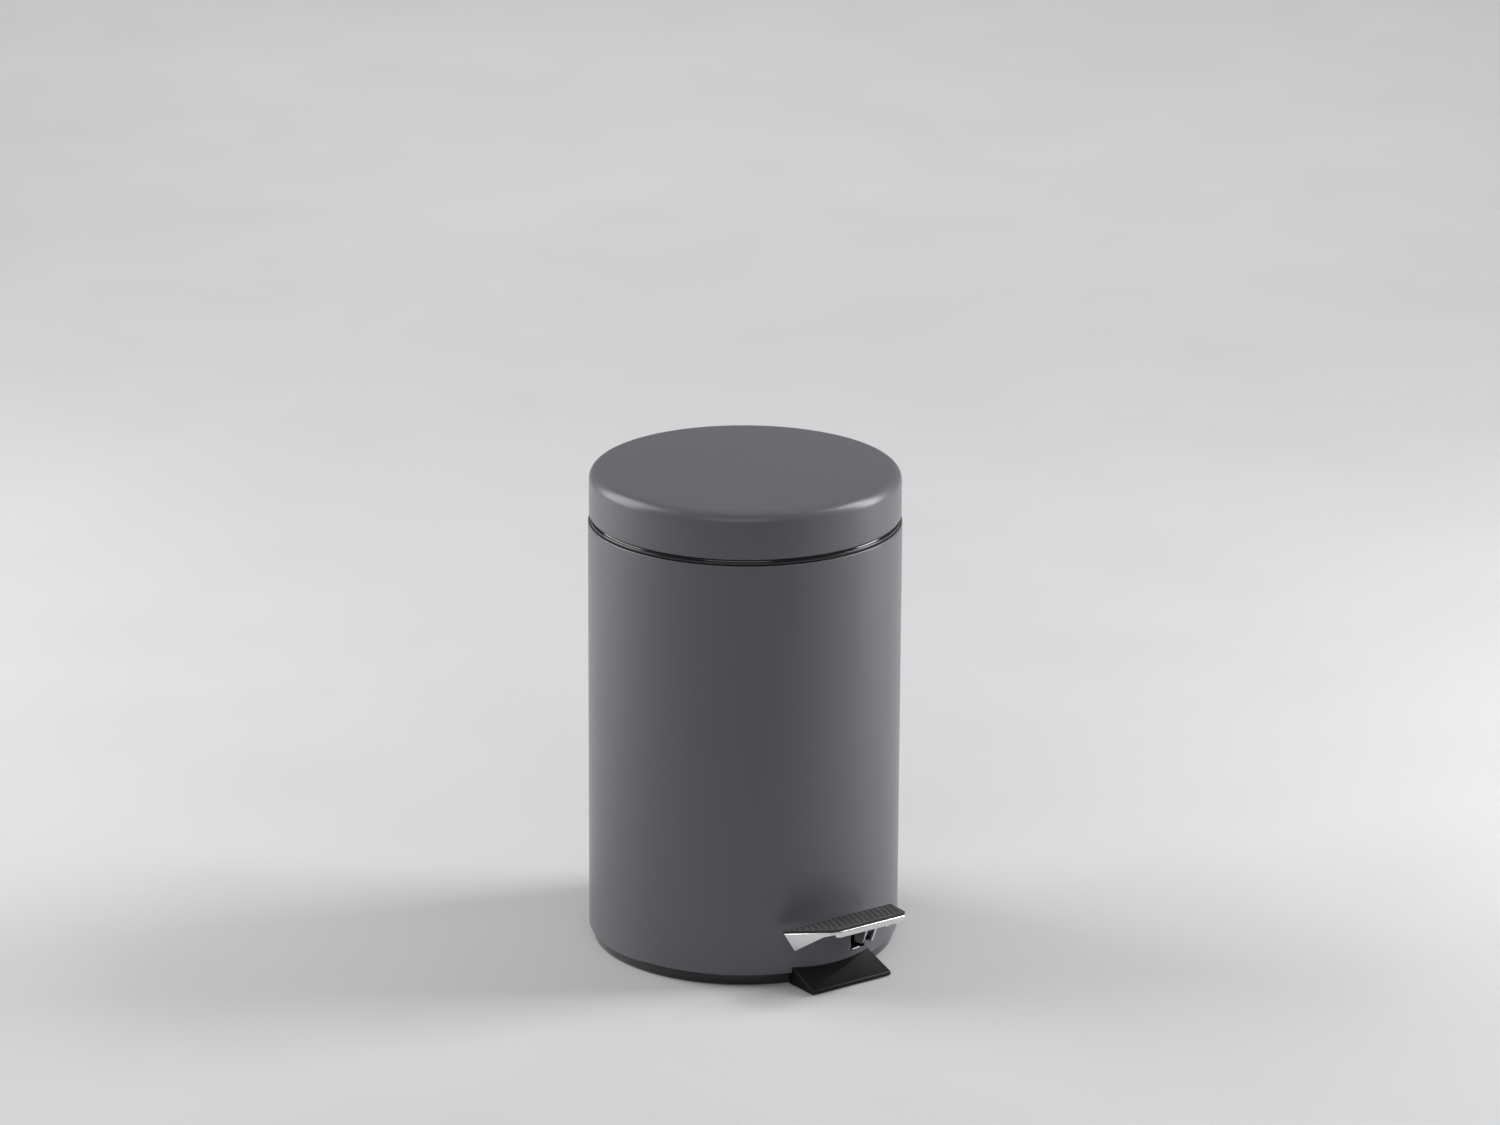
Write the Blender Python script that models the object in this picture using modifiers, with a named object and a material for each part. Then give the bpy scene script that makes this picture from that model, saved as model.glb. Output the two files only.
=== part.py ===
"""Pedal trash can: a round steel bin with a hinged lid that a foot pedal opens through a push rod.

Units are metres, +Z is up and the pedal points along -Y. Every shape is drawn about the bin's own
vertical axis, which stands at AXIS_Y, so that the whole footprint is centred on the origin.
"""

import math

import bmesh
import bpy
from mathutils import Vector

MM = 0.001

# Driving dimensions
AXIS_Y = 5.0 * MM  # the bin's axis, ahead of which the pedal reaches further than the hinge behind
BODY_R = 84.0 * MM
SHEET = 0.8 * MM
BODY_TOP = 235.4 * MM
BASE_H = 6.35 * MM
GAP = 0.3 * MM
LID_R = 83.5 * MM
LID_BOTTOM = 238.4 * MM
LID_EDGE = 264.0 * MM  # height where the lid's side meets its top
LID_TOP = 266.0 * MM
LID_CORNER_R = 6.0 * MM
HINGE_Y = 101.8 * MM
HINGE_Z = 233.1 * MM
HOOK_Y = 77.9 * MM  # push rod's upper pin, in the lid's lug
HOOK_Z = 216.7 * MM
PIVOT_Y = -60.0 * MM
PIVOT_Z = 17.0 * MM
TOE_Z = 12.0 * MM  # lower pins of the push rod and the damper, in the lever's slots
DAMPER_X = 28.0 * MM
DAMPER_Y = 68.0 * MM
LEVER_X = 17.0 * MM
LEVER_W = 8.0 * MM
LEVER_SHEET = 1.6 * MM
ROD_R = 1.5 * MM
DAMPER_ROD_R = 1.25 * MM
FLOOR_TOP = 46.0 * MM
BUCKET_Y = -5.0 * MM
PEDAL_REAR = 87.0 * MM
PEDAL_FRONT = 117.8 * MM
PEDAL_REAR_Z = 33.5 * MM
PEDAL_FRONT_Z = 41.2 * MM
PEDAL_REAR_HALF = 35.0 * MM
PEDAL_FRONT_HALF = 22.4 * MM
KNUCKLE_R = 5.5 * MM
PIN_R = 2.0 * MM  # hinge pin and pedal pivot
PIN_HOLE_R = 2.3 * MM
ARM_HALF = 13.0 * MM  # half width of the lid's hinge arm
SCREW_X = 8.0 * MM
SCREW_Z = 206.0 * MM
BRACKET_RIVETS = (6.5 * MM, 27.5 * MM)
PLATE_SHEET = 1.2 * MM
PEDAL_RIVETS = (-97.5 * MM, -108.5 * MM)
ROD_X = 10.0 * MM
CLIP_HEIGHTS = (90.0 * MM, 128.0 * MM)
CYLINDER_LOW = 78.0 * MM
CYLINDER_HIGH = 140.0 * MM
DAMPER_R = 4.5 * MM
DAMPER_REACH = math.hypot(DAMPER_X, DAMPER_Y)
DAMPER_TURN = math.atan2(DAMPER_X, DAMPER_Y)
BUCKET_RIM = 229.5 * MM
BAIL_Z = 220.0 * MM  # pivots of the bucket's wire handle
BAIL_REACH = 75.0 * MM
BAIL_DEPTH = 66.0 * MM
BAIL_LIE = 231.5 * MM  # height of the handle where it lies on the bucket's rim

ROUND = 64  # segments round the large turned parts
SMALL = 20  # segments round pins and screws
SIDEWAYS = (math.pi / 2, 0, math.pi / 2)  # turns a drawing's x, y into the bin's y, z

for old in list(bpy.data.objects):
    bpy.data.objects.remove(old)

parts = bpy.data.collections.new("pedal_trash_can")
tools = bpy.data.collections.new("cutters")
tools.hide_render = True
for collection in (parts, tools):
    bpy.context.scene.collection.children.link(collection)


def material(name, color, roughness, metallic=0.0):
    made = bpy.data.materials.new(name)
    made.use_nodes = True
    shader = made.node_tree.nodes["Principled BSDF"]
    shader.inputs["Base Color"].default_value = (*color, 1)
    shader.inputs["Roughness"].default_value = roughness
    shader.inputs["Metallic"].default_value = metallic
    return made


paint = material("anthracite_paint", (0.095, 0.092, 0.105), 0.4)
gloss_black = material("gloss_black_plastic", (0.012, 0.012, 0.013), 0.15)
matt_black = material("matt_black_plastic", (0.018, 0.018, 0.018), 0.5)
bucket_black = material("bucket_plastic", (0.03, 0.03, 0.032), 0.45)
chrome = material("bright_steel", (0.72, 0.72, 0.74), 0.18, 1.0)
steel = material("plain_steel", (0.55, 0.55, 0.56), 0.35, 1.0)
rubber = material("black_rubber", (0.02, 0.02, 0.02), 0.8)


def empty(name, place, parent=None):
    made = bpy.data.objects.new(name, None)
    made.location = place
    made.parent = parent
    parts.objects.link(made)
    return made


bin_axis = empty("bin_axis", (0, AXIS_Y, 0))
lid_axis = empty("lid_axis", (0, HINGE_Y, HINGE_Z), bin_axis)
pedal_axis = empty("pedal_axis", (0, PIVOT_Y, PIVOT_Z), bin_axis)
rod_axis = empty("rod_axis", (0, HOOK_Y - HINGE_Y, HOOK_Z - HINGE_Z), lid_axis)
damper_axis = empty("damper_axis", (DAMPER_X, DAMPER_Y, TOE_Z), bin_axis)
bpy.context.view_layer.update()


def hang(obj, parent):
    """Parent obj to an axis while its location stays counted from the bin's own axis."""
    obj.parent = parent
    obj.matrix_parent_inverse = parent.matrix_world.inverted() @ bin_axis.matrix_world
    return obj


def put(obj, finish, parent):
    """Give a finished sub-part its material, and hang it on the axis it moves about."""
    obj.data.materials.clear()
    obj.data.materials.append(finish)
    for owner in list(obj.users_collection):
        owner.objects.unlink(obj)
    parts.objects.link(obj)
    obj.data.shade_smooth()
    obj.data.set_sharp_from_angle(angle=math.radians(35))
    return hang(obj, parent)


def as_mesh(obj):
    """Replace a curve, or an object with modifiers, by its own closed mesh."""
    bpy.context.view_layer.update()
    graph = bpy.context.evaluated_depsgraph_get()
    mesh = bpy.data.meshes.new_from_object(obj.evaluated_get(graph))
    made = bpy.data.objects.new(obj.name, mesh)
    made.matrix_world = obj.matrix_world
    bpy.context.scene.collection.objects.link(made)
    name = obj.name
    bpy.data.objects.remove(obj)
    made.name = name
    return weld(made)


def weld(obj):
    work = bmesh.new()
    work.from_mesh(obj.data)
    bmesh.ops.remove_doubles(work, verts=work.verts, dist=1e-6)
    bmesh.ops.recalc_face_normals(work, faces=work.faces)
    work.to_mesh(obj.data)
    work.free()
    return obj


def lathe(name, profile, steps=ROUND):
    """Turn a closed profile of (radius, height) points, given top to bottom on its outer side."""
    mesh = bpy.data.meshes.new(name)
    count = len(profile)
    edges = [(i, (i + 1) % count) for i in range(count)]
    if profile[0][0] == 0:
        edges.pop()
    mesh.from_pydata([(r, 0, z) for r, z in profile], edges, [])
    obj = bpy.data.objects.new(name, mesh)
    bpy.context.scene.collection.objects.link(obj)
    screw = obj.modifiers.new("turn", "SCREW")
    screw.steps = steps
    screw.render_steps = steps
    screw.use_merge_vertices = True
    screw.merge_threshold = 1e-6
    return as_mesh(obj)


def outline_curve(name, outlines, thickness):
    curve = bpy.data.curves.new(name, "CURVE")
    curve.dimensions = "2D"
    curve.fill_mode = "BOTH"
    curve.extrude = thickness / 2
    for outline in outlines:
        spline = curve.splines.new("POLY")
        spline.points.add(len(outline) - 1)
        for point, (x, y) in zip(spline.points, outline):
            point.co = (x, y, 0, 1)
        spline.use_cyclic_u = True
    obj = bpy.data.objects.new(name, curve)
    bpy.context.scene.collection.objects.link(obj)
    return obj


def side_plate(name, outlines, x_from, x_to):
    """A plate drawn in y and z, standing between two x positions."""
    obj = outline_curve(name, outlines, x_to - x_from)
    obj.rotation_euler = SIDEWAYS
    obj.location.x = (x_from + x_to) / 2
    return as_mesh(obj)


def flat_plate(name, outlines, z_from, z_to):
    obj = outline_curve(name, outlines, z_to - z_from)
    obj.location.z = (z_from + z_to) / 2
    return as_mesh(obj)


def box(name, low, high):
    bpy.ops.mesh.primitive_cube_add(size=1)
    obj = bpy.context.object
    obj.name = name
    obj.location = (Vector(low) + Vector(high)) / 2
    obj.scale = Vector(high) - Vector(low)
    return apply_place(obj)


def rod(name, radius, start, end, sides=SMALL):
    """A cylinder from start to end."""
    start, end = Vector(start), Vector(end)
    bpy.ops.mesh.primitive_cylinder_add(vertices=sides, radius=radius, depth=(end - start).length)
    obj = bpy.context.object
    obj.name = name
    obj.location = (start + end) / 2
    obj.rotation_euler = (end - start).to_track_quat("Z", "Y").to_euler()
    return apply_place(obj)


def apply_place(obj):
    """Move the object's placing into its mesh, so that Bevel and Boolean work unstretched."""
    bpy.context.view_layer.update()
    obj.data.transform(obj.matrix_world)
    obj.matrix_world.identity()
    obj.location = (0, 0, 0)
    obj.rotation_euler = (0, 0, 0)
    obj.scale = (1, 1, 1)
    return obj


def wire(name, points, radius, bend):
    """A round wire along straight runs joined by bends of the given radius."""
    path = [Vector(points[0])]
    for before, corner, after in zip(points, points[1:], points[2:]):
        before, corner, after = Vector(before), Vector(corner), Vector(after)
        start = corner + (before - corner).normalized() * bend
        end = corner + (after - corner).normalized() * bend
        centre = start + end - corner
        for step in range(7):
            turn = math.radians(90) * step / 6
            spoke = (start - centre) * math.cos(turn) + (end - centre) * math.sin(turn)
            path.append(centre + spoke)
    path.append(Vector(points[-1]))
    return tube(name, path, radius)


def tube(name, path, radius, resolution=3):
    curve = bpy.data.curves.new(name, "CURVE")
    curve.dimensions = "3D"
    curve.bevel_depth = radius
    curve.bevel_resolution = resolution
    curve.use_fill_caps = True
    spline = curve.splines.new("POLY")
    spline.points.add(len(path) - 1)
    for point, place in zip(spline.points, path):
        point.co = (*place, 1)
    obj = bpy.data.objects.new(name, curve)
    bpy.context.scene.collection.objects.link(obj)
    return as_mesh(obj)


def combine(obj, others, operation):
    for other in others:
        other.name = f"{obj.name}_{operation.lower()}_{other.name}"
        step = obj.modifiers.new(other.name, "BOOLEAN")
        step.operation = operation
        step.object = other
        step.solver = "EXACT"
    made = as_mesh(obj)
    for other in others:
        for owner in list(other.users_collection):
            owner.objects.unlink(other)
        tools.objects.link(other)
        other.parent = bin_axis
        other.hide_render = True
        other.display_type = "WIRE"
    return made


def join(obj, *others):
    return combine(obj, others, "UNION")


def cut(obj, *others):
    return combine(obj, others, "DIFFERENCE")


def arc(centre, radius, first, last, steps):
    """Points on an arc, in degrees from the drawing's +x towards its +y."""
    points = []
    for step in range(steps + 1):
        angle = math.radians(first + (last - first) * step / steps)
        points.append((centre[0] + radius * math.cos(angle), centre[1] + radius * math.sin(angle)))
    return points


def slot_outline(centre, back, ahead, radius):
    """A slot along the drawing's x, from centre - back to centre + ahead, with round ends."""
    right = arc((centre[0] + ahead, centre[1]), radius, -90, 90, 8)
    left = arc((centre[0] - back, centre[1]), radius, 90, 270, 8)
    return right + left


def make_body_shell():
    shoulder = 0.6 * MM
    bottom = BASE_H + GAP
    inner = BODY_R - SHEET
    profile = [(inner, BODY_TOP)]
    profile += [(r, z) for r, z in arc((BODY_R - shoulder, BODY_TOP - shoulder), shoulder, 90, 0, 3)]
    profile += [(BODY_R, bottom), (inner, bottom)]
    shell = lathe("body_shell", profile)
    half = LEVER_W / 2 + 1.4 * MM
    arch_z = 24.6 * MM - half
    arch = [(LEVER_X - half, 11.7 * MM), (LEVER_X + half, 11.7 * MM)]
    arch += arc((LEVER_X, arch_z), half, 0, 180, 10)
    slot = outline_curve("lever_slot", [arch], 40 * MM)
    slot.rotation_euler = (math.pi / 2, 0, 0)
    slot.location.y = -BODY_R
    cutters = [as_mesh(slot)]
    for side in (-1, 1):
        x = side * SCREW_X
        cutters.append(rod("screw_hole", 1.8 * MM, (x, 78 * MM, SCREW_Z), (x, 90 * MM, SCREW_Z)))
    for height in CLIP_HEIGHTS:
        start, end = clip_point(78 * MM, height), clip_point(90 * MM, height)
        cutters.append(rod("rivet_hole", 1.7 * MM, start, end))
    return put(cut(shell, *cutters), paint, bin_axis)


def make_rim_ring():
    top, seat = 238.0 * MM, BODY_TOP + 0.35 * MM
    rounding = 1.0 * MM
    edge = BODY_R - 0.8 * MM
    profile = [(79.5 * MM, top)]
    profile += arc((edge - rounding, top - rounding), rounding, 90, 0, 2)
    profile += [(edge, seat), (82.8 * MM, seat), (82.8 * MM, 228 * MM), (81.4 * MM, 228 * MM)]
    profile += [(81.4 * MM, 234.6 * MM), (79.5 * MM, 235.6 * MM)]
    ring = lathe("rim_ring", profile)
    notch = box("rod_notch", (6.5 * MM, 60 * MM, 220 * MM), (19 * MM, 90 * MM, 245 * MM))
    return put(cut(ring, notch), gloss_black, bin_axis)


def make_base_ring():
    lift = 0.5 * MM  # the anti-slip ring alone meets the floor
    plate = 2.5 * MM
    spigot_top = 12.0 * MM
    profile = [
        (0, plate),
        (80.4 * MM, plate),
        (80.4 * MM, spigot_top),
        (82.8 * MM, spigot_top),
        (82.8 * MM, BASE_H),
        (83.4 * MM, BASE_H),
        (81.6 * MM, lift),
        (78.4 * MM, lift),
        (78.4 * MM, 1.7 * MM),
        (69.6 * MM, 1.7 * MM),
        (69.6 * MM, lift),
        (0, lift),
    ]
    base = lathe("base_ring", profile)
    foot_half = 25.75 * MM
    rear, front = -81.0 * MM, -100.7 * MM
    slope = (8.7 - 3.0) / (100.7 - 84.0)
    side = [
        (rear, lift),
        (front + 1.2 * MM, lift),
        (front, 1.4 * MM),
        (front, 3.0 * MM),
        (rear, 3.0 * MM + (rear - front) * slope),
    ]
    foot = side_plate("front_foot", [side], -foot_half, foot_half)
    room_r, room_low = BODY_R + GAP, BASE_H - 0.2 * MM
    room = [(0, 40 * MM), (room_r, 40 * MM), (room_r, room_low), (0, room_low)]
    foot = cut(foot, lathe("shell_room", room))
    low, high = BASE_H + 0.25 * MM, spigot_top + 2 * MM
    holes = [box("lever_room", (5 * MM, 60 * MM, low), (30 * MM, 90 * MM, high))]
    for x in BRACKET_RIVETS:
        holes.append(rod("rivet_hole", 1.8 * MM, (x, PIVOT_Y, -2 * MM), (x, PIVOT_Y, 6 * MM)))
    return put(cut(join(base, foot), *holes), gloss_black, bin_axis)


def make_anti_slip_ring():
    profile = [(78.1 * MM, 1.4 * MM), (78.1 * MM, 0), (69.9 * MM, 0), (69.9 * MM, 1.4 * MM)]
    return put(lathe("anti_slip_ring", profile), rubber, bin_axis)


def make_floor_plate():
    edge = BODY_R - SHEET - GAP
    thick = 1.0 * MM
    skirt = 37.0 * MM
    profile = [
        (0, FLOOR_TOP),
        (edge - thick, FLOOR_TOP),
        (edge, FLOOR_TOP - thick),
        (edge, skirt),
        (edge - thick, skirt),
        (edge - thick, FLOOR_TOP - thick),
        (0, FLOOR_TOP - thick),
    ]
    floor = lathe("floor_plate", profile)
    notch = box("linkage_notch", (3 * MM, 61 * MM, 30 * MM), (36 * MM, 95 * MM, 60 * MM))
    return put(cut(floor, notch), steel, bin_axis)


def make_lid_shell():
    inner = LID_R - SHEET
    corner = (LID_R - LID_CORNER_R, LID_EDGE - LID_CORNER_R)
    flat = corner[0]
    rise = LID_TOP - LID_EDGE
    hem = 1.4 * MM
    hem_centre = (LID_R - hem, LID_BOTTOM + hem)
    profile = []
    for step in range(3):
        r = flat * step / 3
        profile.append((r, LID_EDGE + rise * (1 - (r / flat) ** 2)))
    profile += arc(corner, LID_CORNER_R, 90, 0, 5)
    profile += arc(hem_centre, hem, 0, -180, 4)
    profile += [(LID_R - 2 * hem, LID_BOTTOM + 2.4 * MM), (inner, LID_BOTTOM + 3.2 * MM)]
    profile += arc(corner, LID_CORNER_R - SHEET, 0, 90, 4)
    for step in range(2, -1, -1):
        r = flat * step / 3
        profile.append((r, LID_EDGE - SHEET + rise * (1 - (r / flat) ** 2)))
    lid = lathe("lid_shell", profile)
    half = ARM_HALF + 0.5 * MM
    notch = box("arm_notch", (-half, 60 * MM, 230 * MM), (half, 95 * MM, 243.2 * MM))
    return put(cut(lid, notch), paint, lid_axis)


def make_lid_bracket():
    top, under = 242.6 * MM, 238.9 * MM
    front = 74.0 * MM
    sheet = 2.4 * MM
    roof = LID_EDGE - SHEET - 0.5 * MM
    hinge = (HINGE_Y, HINGE_Z)
    knuckle = arc(hinge, KNUCKLE_R, 74, -155, 20)
    outline = [(60 * MM, roof - sheet), (front, roof - sheet), (front, under), (92 * MM, under)]
    outline += knuckle[::-1]
    outline += [(92 * MM, top), (front + sheet, top), (front + sheet, roof), (60 * MM, roof)]
    hole = arc(hinge, PIN_HOLE_R, 0, 342, 19)
    arm = side_plate("lid_bracket", [outline, hole], -ARM_HALF, ARM_HALF + 2.2 * MM)
    hook = (HOOK_Y, HOOK_Z)
    lug = [(front + 0.2 * MM, under + 1.5 * MM), (front + 0.2 * MM, 226 * MM)]
    lug += arc(hook, 3.3 * MM, 165, 375, 12)
    lug += [(81 * MM, 226 * MM), (81 * MM, under + 1.5 * MM)]
    lug_hole = arc(hook, 1.9 * MM, 0, 342, 19)
    lug = side_plate("rod_lug", [lug, lug_hole], 12.8 * MM, 14.8 * MM)
    relief = box("corner_relief", (ARM_HALF, 78.8 * MM, 226 * MM), (20 * MM, 110 * MM, 250 * MM))
    return put(cut(join(arm, lug), relief), matt_black, lid_axis)


def make_hinge_block():
    ear_in, ear_out = ARM_HALF + 0.6 * MM, 18.6 * MM
    body = [(78 * MM, 196 * MM), (88 * MM, 196 * MM), (92 * MM, 201 * MM), (92 * MM, 227 * MM)]
    body += [(78 * MM, 231 * MM)]
    block = side_plate("hinge_block", [body], -ear_out, ear_out)
    cheek = [(78 * MM, 231.4 * MM), (78 * MM, 207 * MM), (90.5 * MM, 206 * MM)]
    cheek += arc((HINGE_Y, HINGE_Z), 6 * MM, -25, 105, 12)
    cheeks = []
    for x_from, x_to in ((-ear_out + 0.2 * MM, -ear_in), (ear_in, ear_out - 0.2 * MM)):
        cheeks.append(side_plate("cheek", [cheek], x_from, x_to))
    wall = rod("shell_room", BODY_R + GAP, (0, 0, 180 * MM), (0, 0, 250 * MM), sides=192)
    pin_hole = rod("pin_hole", PIN_HOLE_R, (-30 * MM, HINGE_Y, HINGE_Z), (30 * MM, HINGE_Y, HINGE_Z))
    cutters = [wall, pin_hole]
    for side in (-1, 1):
        x = side * SCREW_X
        cutters.append(rod("screw_hole", 1.8 * MM, (x, 70 * MM, SCREW_Z), (x, 89.5 * MM, SCREW_Z)))
    return put(cut(join(block, *cheeks), *cutters), matt_black, bin_axis)


def make_hinge_pin():
    reach = 19.6 * MM
    pin = rod("hinge_pin", PIN_R, (-reach, HINGE_Y, HINGE_Z), (reach, HINGE_Y, HINGE_Z), sides=24)
    head = rod("pin_head", 3.2 * MM, (-20.6 * MM, HINGE_Y, HINGE_Z), (-18.9 * MM, HINGE_Y, HINGE_Z))
    return put(join(pin, head), steel, bin_axis)


def make_hinge_screws():
    for side, name in ((-1, "hinge_screw_left"), (1, "hinge_screw_right")):
        x = side * SCREW_X
        shank = rod(name, 1.5 * MM, (x, 81 * MM, SCREW_Z), (x, 89 * MM, SCREW_Z))
        head = rod("screw_head", 3.0 * MM, (x, 80.2 * MM, SCREW_Z), (x, 82 * MM, SCREW_Z))
        put(join(shank, head), steel, bin_axis)


def pedal_z(y):
    """Height of the pedal plate's top face at y."""
    share = (-y - PEDAL_REAR) / (PEDAL_FRONT - PEDAL_REAR)
    return PEDAL_REAR_Z + (PEDAL_FRONT_Z - PEDAL_REAR_Z) * share


def lever_line():
    """Top line of the lever, from under the pedal plate to its rear end."""
    under = PLATE_SHEET + 0.45 * MM
    return [
        (-113.5 * MM, pedal_z(-113.5 * MM) - under),
        (-95.0 * MM, pedal_z(-95.0 * MM) - under),
        (-88.0 * MM, 22.6 * MM),
        (-84.5 * MM, 21.3 * MM),
        (-56.0 * MM, 21.3 * MM),
        (70.0 * MM, 17.4 * MM),
    ]


def make_pedal_lever():
    low, high = LEVER_X - LEVER_W / 2, LEVER_X + LEVER_W / 2
    line = lever_line()
    web = line + [(y, z - LEVER_SHEET) for y, z in reversed(line)]
    lever = side_plate("pedal_lever", [web], low, high)
    pivot = (PIVOT_Y, PIVOT_Z)
    pin_hole = arc(pivot, PIN_HOLE_R, 0, 342, 19)
    front = [(-113.2 * MM, line[0][1] - 0.4 * MM), (-112 * MM, 34.6 * MM), (-95.5 * MM, 29.2 * MM)]
    front += [(-90.5 * MM, 18.2 * MM), (-85 * MM, 17.6 * MM), (-68 * MM, 17.6 * MM)]
    front += arc(pivot, 5 * MM, 200, 340, 8)
    back_top = [(-56 * MM, 20.9 * MM), (-84.5 * MM, 20.9 * MM), (-88 * MM, 22.2 * MM)]
    back_top += [(-95 * MM, line[1][1] - 0.4 * MM)]
    rod_slot = slot_outline((HOOK_Y, TOE_Z + 0.16 * MM), 4.6 * MM, 0.2 * MM, ROD_R + 0.75 * MM)
    rod_ear = [(-50 * MM, 16.6 * MM), (58 * MM, 13.0 * MM), (68 * MM, 8.4 * MM), (80.4 * MM, 8.4 * MM)]
    rod_ear += [(81.5 * MM, 9.5 * MM), (81.5 * MM, 15 * MM), (80 * MM, 16.6 * MM)]
    rod_ear += [(69.8 * MM, 17.0 * MM)]
    damper_low = (DAMPER_Y, TOE_Z - 0.2 * MM)
    damper_slot = slot_outline(damper_low, 0.7 * MM, 2.3 * MM, DAMPER_ROD_R + 0.6 * MM)
    damper_ear = [(-50 * MM, 16.6 * MM), (55 * MM, 13.0 * MM), (62 * MM, 8.4 * MM), (72 * MM, 8.4 * MM)]
    damper_ear += [(73.5 * MM, 9.9 * MM), (73.5 * MM, 16 * MM), (69.8 * MM, 17.0 * MM)]
    left = [front + rod_ear + back_top, pin_hole, rod_slot]
    right = [front + damper_ear + back_top, pin_hole, damper_slot]
    inset = 0.05 * MM
    walls = [
        side_plate("left_wall", left, low + inset, low + LEVER_SHEET),
        side_plate("right_wall", right, high - LEVER_SHEET, high - inset),
    ]
    lever = join(lever, *walls)
    holes = []
    for y in PEDAL_RIVETS:
        holes.append(rod("rivet_hole", 1.8 * MM, (LEVER_X, y, 20 * MM), (LEVER_X, y, 60 * MM)))
    return put(cut(lever, *holes), chrome, pedal_axis)


def pedal_outline(margin):
    """The plate's outline in x and y: a trapezium with rounded front corners."""
    rear_y = -PEDAL_REAR - margin
    front_y = -PEDAL_FRONT + margin
    rear, front = PEDAL_REAR_HALF - margin, PEDAL_FRONT_HALF - margin
    corner = 2.2 * MM
    right = [(rear, rear_y), (front + 1.4 * MM, front_y + corner * 1.2)]
    right += [(front, front_y + corner * 0.4), (front - corner * 0.8, front_y)]
    return right + [(-x, y) for x, y in reversed(right)]


def make_pedal_plate():
    """Bent sheet: a sloping top with a front lip and two tapering side walls."""
    lip, rear_depth, rear_step = 2.6 * MM, 8.6 * MM, 6.0 * MM
    sheet = bmesh.new()
    rim = [sheet.verts.new((x, y, pedal_z(y))) for x, y in pedal_outline(0)]
    sheet.faces.new(rim)
    half = len(rim) // 2
    drops = [rear_depth, lip * 1.15, lip, lip]
    lower = []
    for index, vertex in enumerate(rim):
        depth = drops[index] if index < half else drops[len(rim) - 1 - index]
        place = vertex.co.copy()
        place.z -= depth
        if index in (0, len(rim) - 1):
            place.y -= rear_step
            place.x *= 0.93
        lower.append(sheet.verts.new(place))
    for index in range(len(rim) - 1):
        sheet.faces.new((rim[index], rim[index + 1], lower[index + 1], lower[index]))
    bmesh.ops.recalc_face_normals(sheet, faces=sheet.faces)
    mesh = bpy.data.meshes.new("pedal_plate")
    sheet.to_mesh(mesh)
    sheet.free()
    plate = bpy.data.objects.new("pedal_plate", mesh)
    bpy.context.scene.collection.objects.link(plate)
    solid = plate.modifiers.new("sheet", "SOLIDIFY")
    solid.thickness = PLATE_SHEET
    solid.offset = -1 if mesh.polygons[0].normal.z > 0 else 1
    solid.use_even_offset = True
    plate = as_mesh(plate)
    holes = []
    for y in PEDAL_RIVETS:
        holes.append(rod("rivet_hole", 1.8 * MM, (LEVER_X, y, 20 * MM), (LEVER_X, y, 60 * MM)))
    return put(cut(plate, *holes), chrome, pedal_axis)


def make_pedal_tread():
    thick = 1.2 * MM
    pad = apply_place(flat_plate("pedal_tread", [pedal_outline(0.6 * MM)], 0, thick))
    for vertex in pad.data.vertices:
        vertex.co.z += pedal_z(vertex.co.y) + GAP
    return put(pad, rubber, pedal_axis)


def make_pedal_rivets():
    for y, name in zip(PEDAL_RIVETS, ("pedal_rivet_rear", "pedal_rivet_front")):
        top = pedal_z(y)
        shank = rod(name, 1.4 * MM, (LEVER_X, y, top - 5.4 * MM), (LEVER_X, y, top - 0.4 * MM))
        head = rod("head", 2.0 * MM, (LEVER_X, y, top - 5.6 * MM), (LEVER_X, y, top - 4.4 * MM))
        put(join(shank, head), steel, pedal_axis)


def make_pivot_bracket():
    base_top = 2.5 * MM + GAP
    sheet = 1.5 * MM
    low = (2.5 * MM, PIVOT_Y - 6 * MM, base_top)
    high = (31.5 * MM, PIVOT_Y + 6 * MM, base_top + sheet)
    bracket = box("pivot_bracket", low, high)
    cheek = [(PIVOT_Y + side * 5.8 * MM, base_top + 0.2 * MM) for side in (-1, 1)]
    cheek += arc((PIVOT_Y, PIVOT_Z), 4.5 * MM, 0, 180, 10)
    hole = arc((PIVOT_Y, PIVOT_Z), PIN_HOLE_R, 0, 342, 19)
    cheeks = []
    for x_from in (10.6 * MM, 21.6 * MM):
        cheeks.append(side_plate("cheek", [cheek, hole], x_from, x_from + 1.8 * MM))
    holes = []
    for x in BRACKET_RIVETS:
        holes.append(rod("rivet_hole", 1.8 * MM, (x, PIVOT_Y, -2 * MM), (x, PIVOT_Y, 6 * MM)))
    return put(cut(join(bracket, *cheeks), *holes), steel, bin_axis)


def make_pivot_pin():
    pin = rod("pivot_pin", PIN_R, (8.6 * MM, PIVOT_Y, PIVOT_Z), (25.4 * MM, PIVOT_Y, PIVOT_Z), sides=24)
    head = rod("pin_head", 3.2 * MM, (8.4 * MM, PIVOT_Y, PIVOT_Z), (9.9 * MM, PIVOT_Y, PIVOT_Z))
    return put(join(pin, head), steel, bin_axis)


def make_bracket_rivets():
    flange_top = 2.5 * MM + GAP + 1.5 * MM
    for x, name in zip(BRACKET_RIVETS, ("bracket_rivet_left", "bracket_rivet_right")):
        shank = rod(name, 1.5 * MM, (x, PIVOT_Y, 0.8 * MM), (x, PIVOT_Y, flange_top + 1 * MM))
        head = rod("head", 2.8 * MM, (x, PIVOT_Y, flange_top + GAP), (x, PIVOT_Y, flange_top + 1.5 * MM))
        put(join(shank, head), steel, bin_axis)


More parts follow.
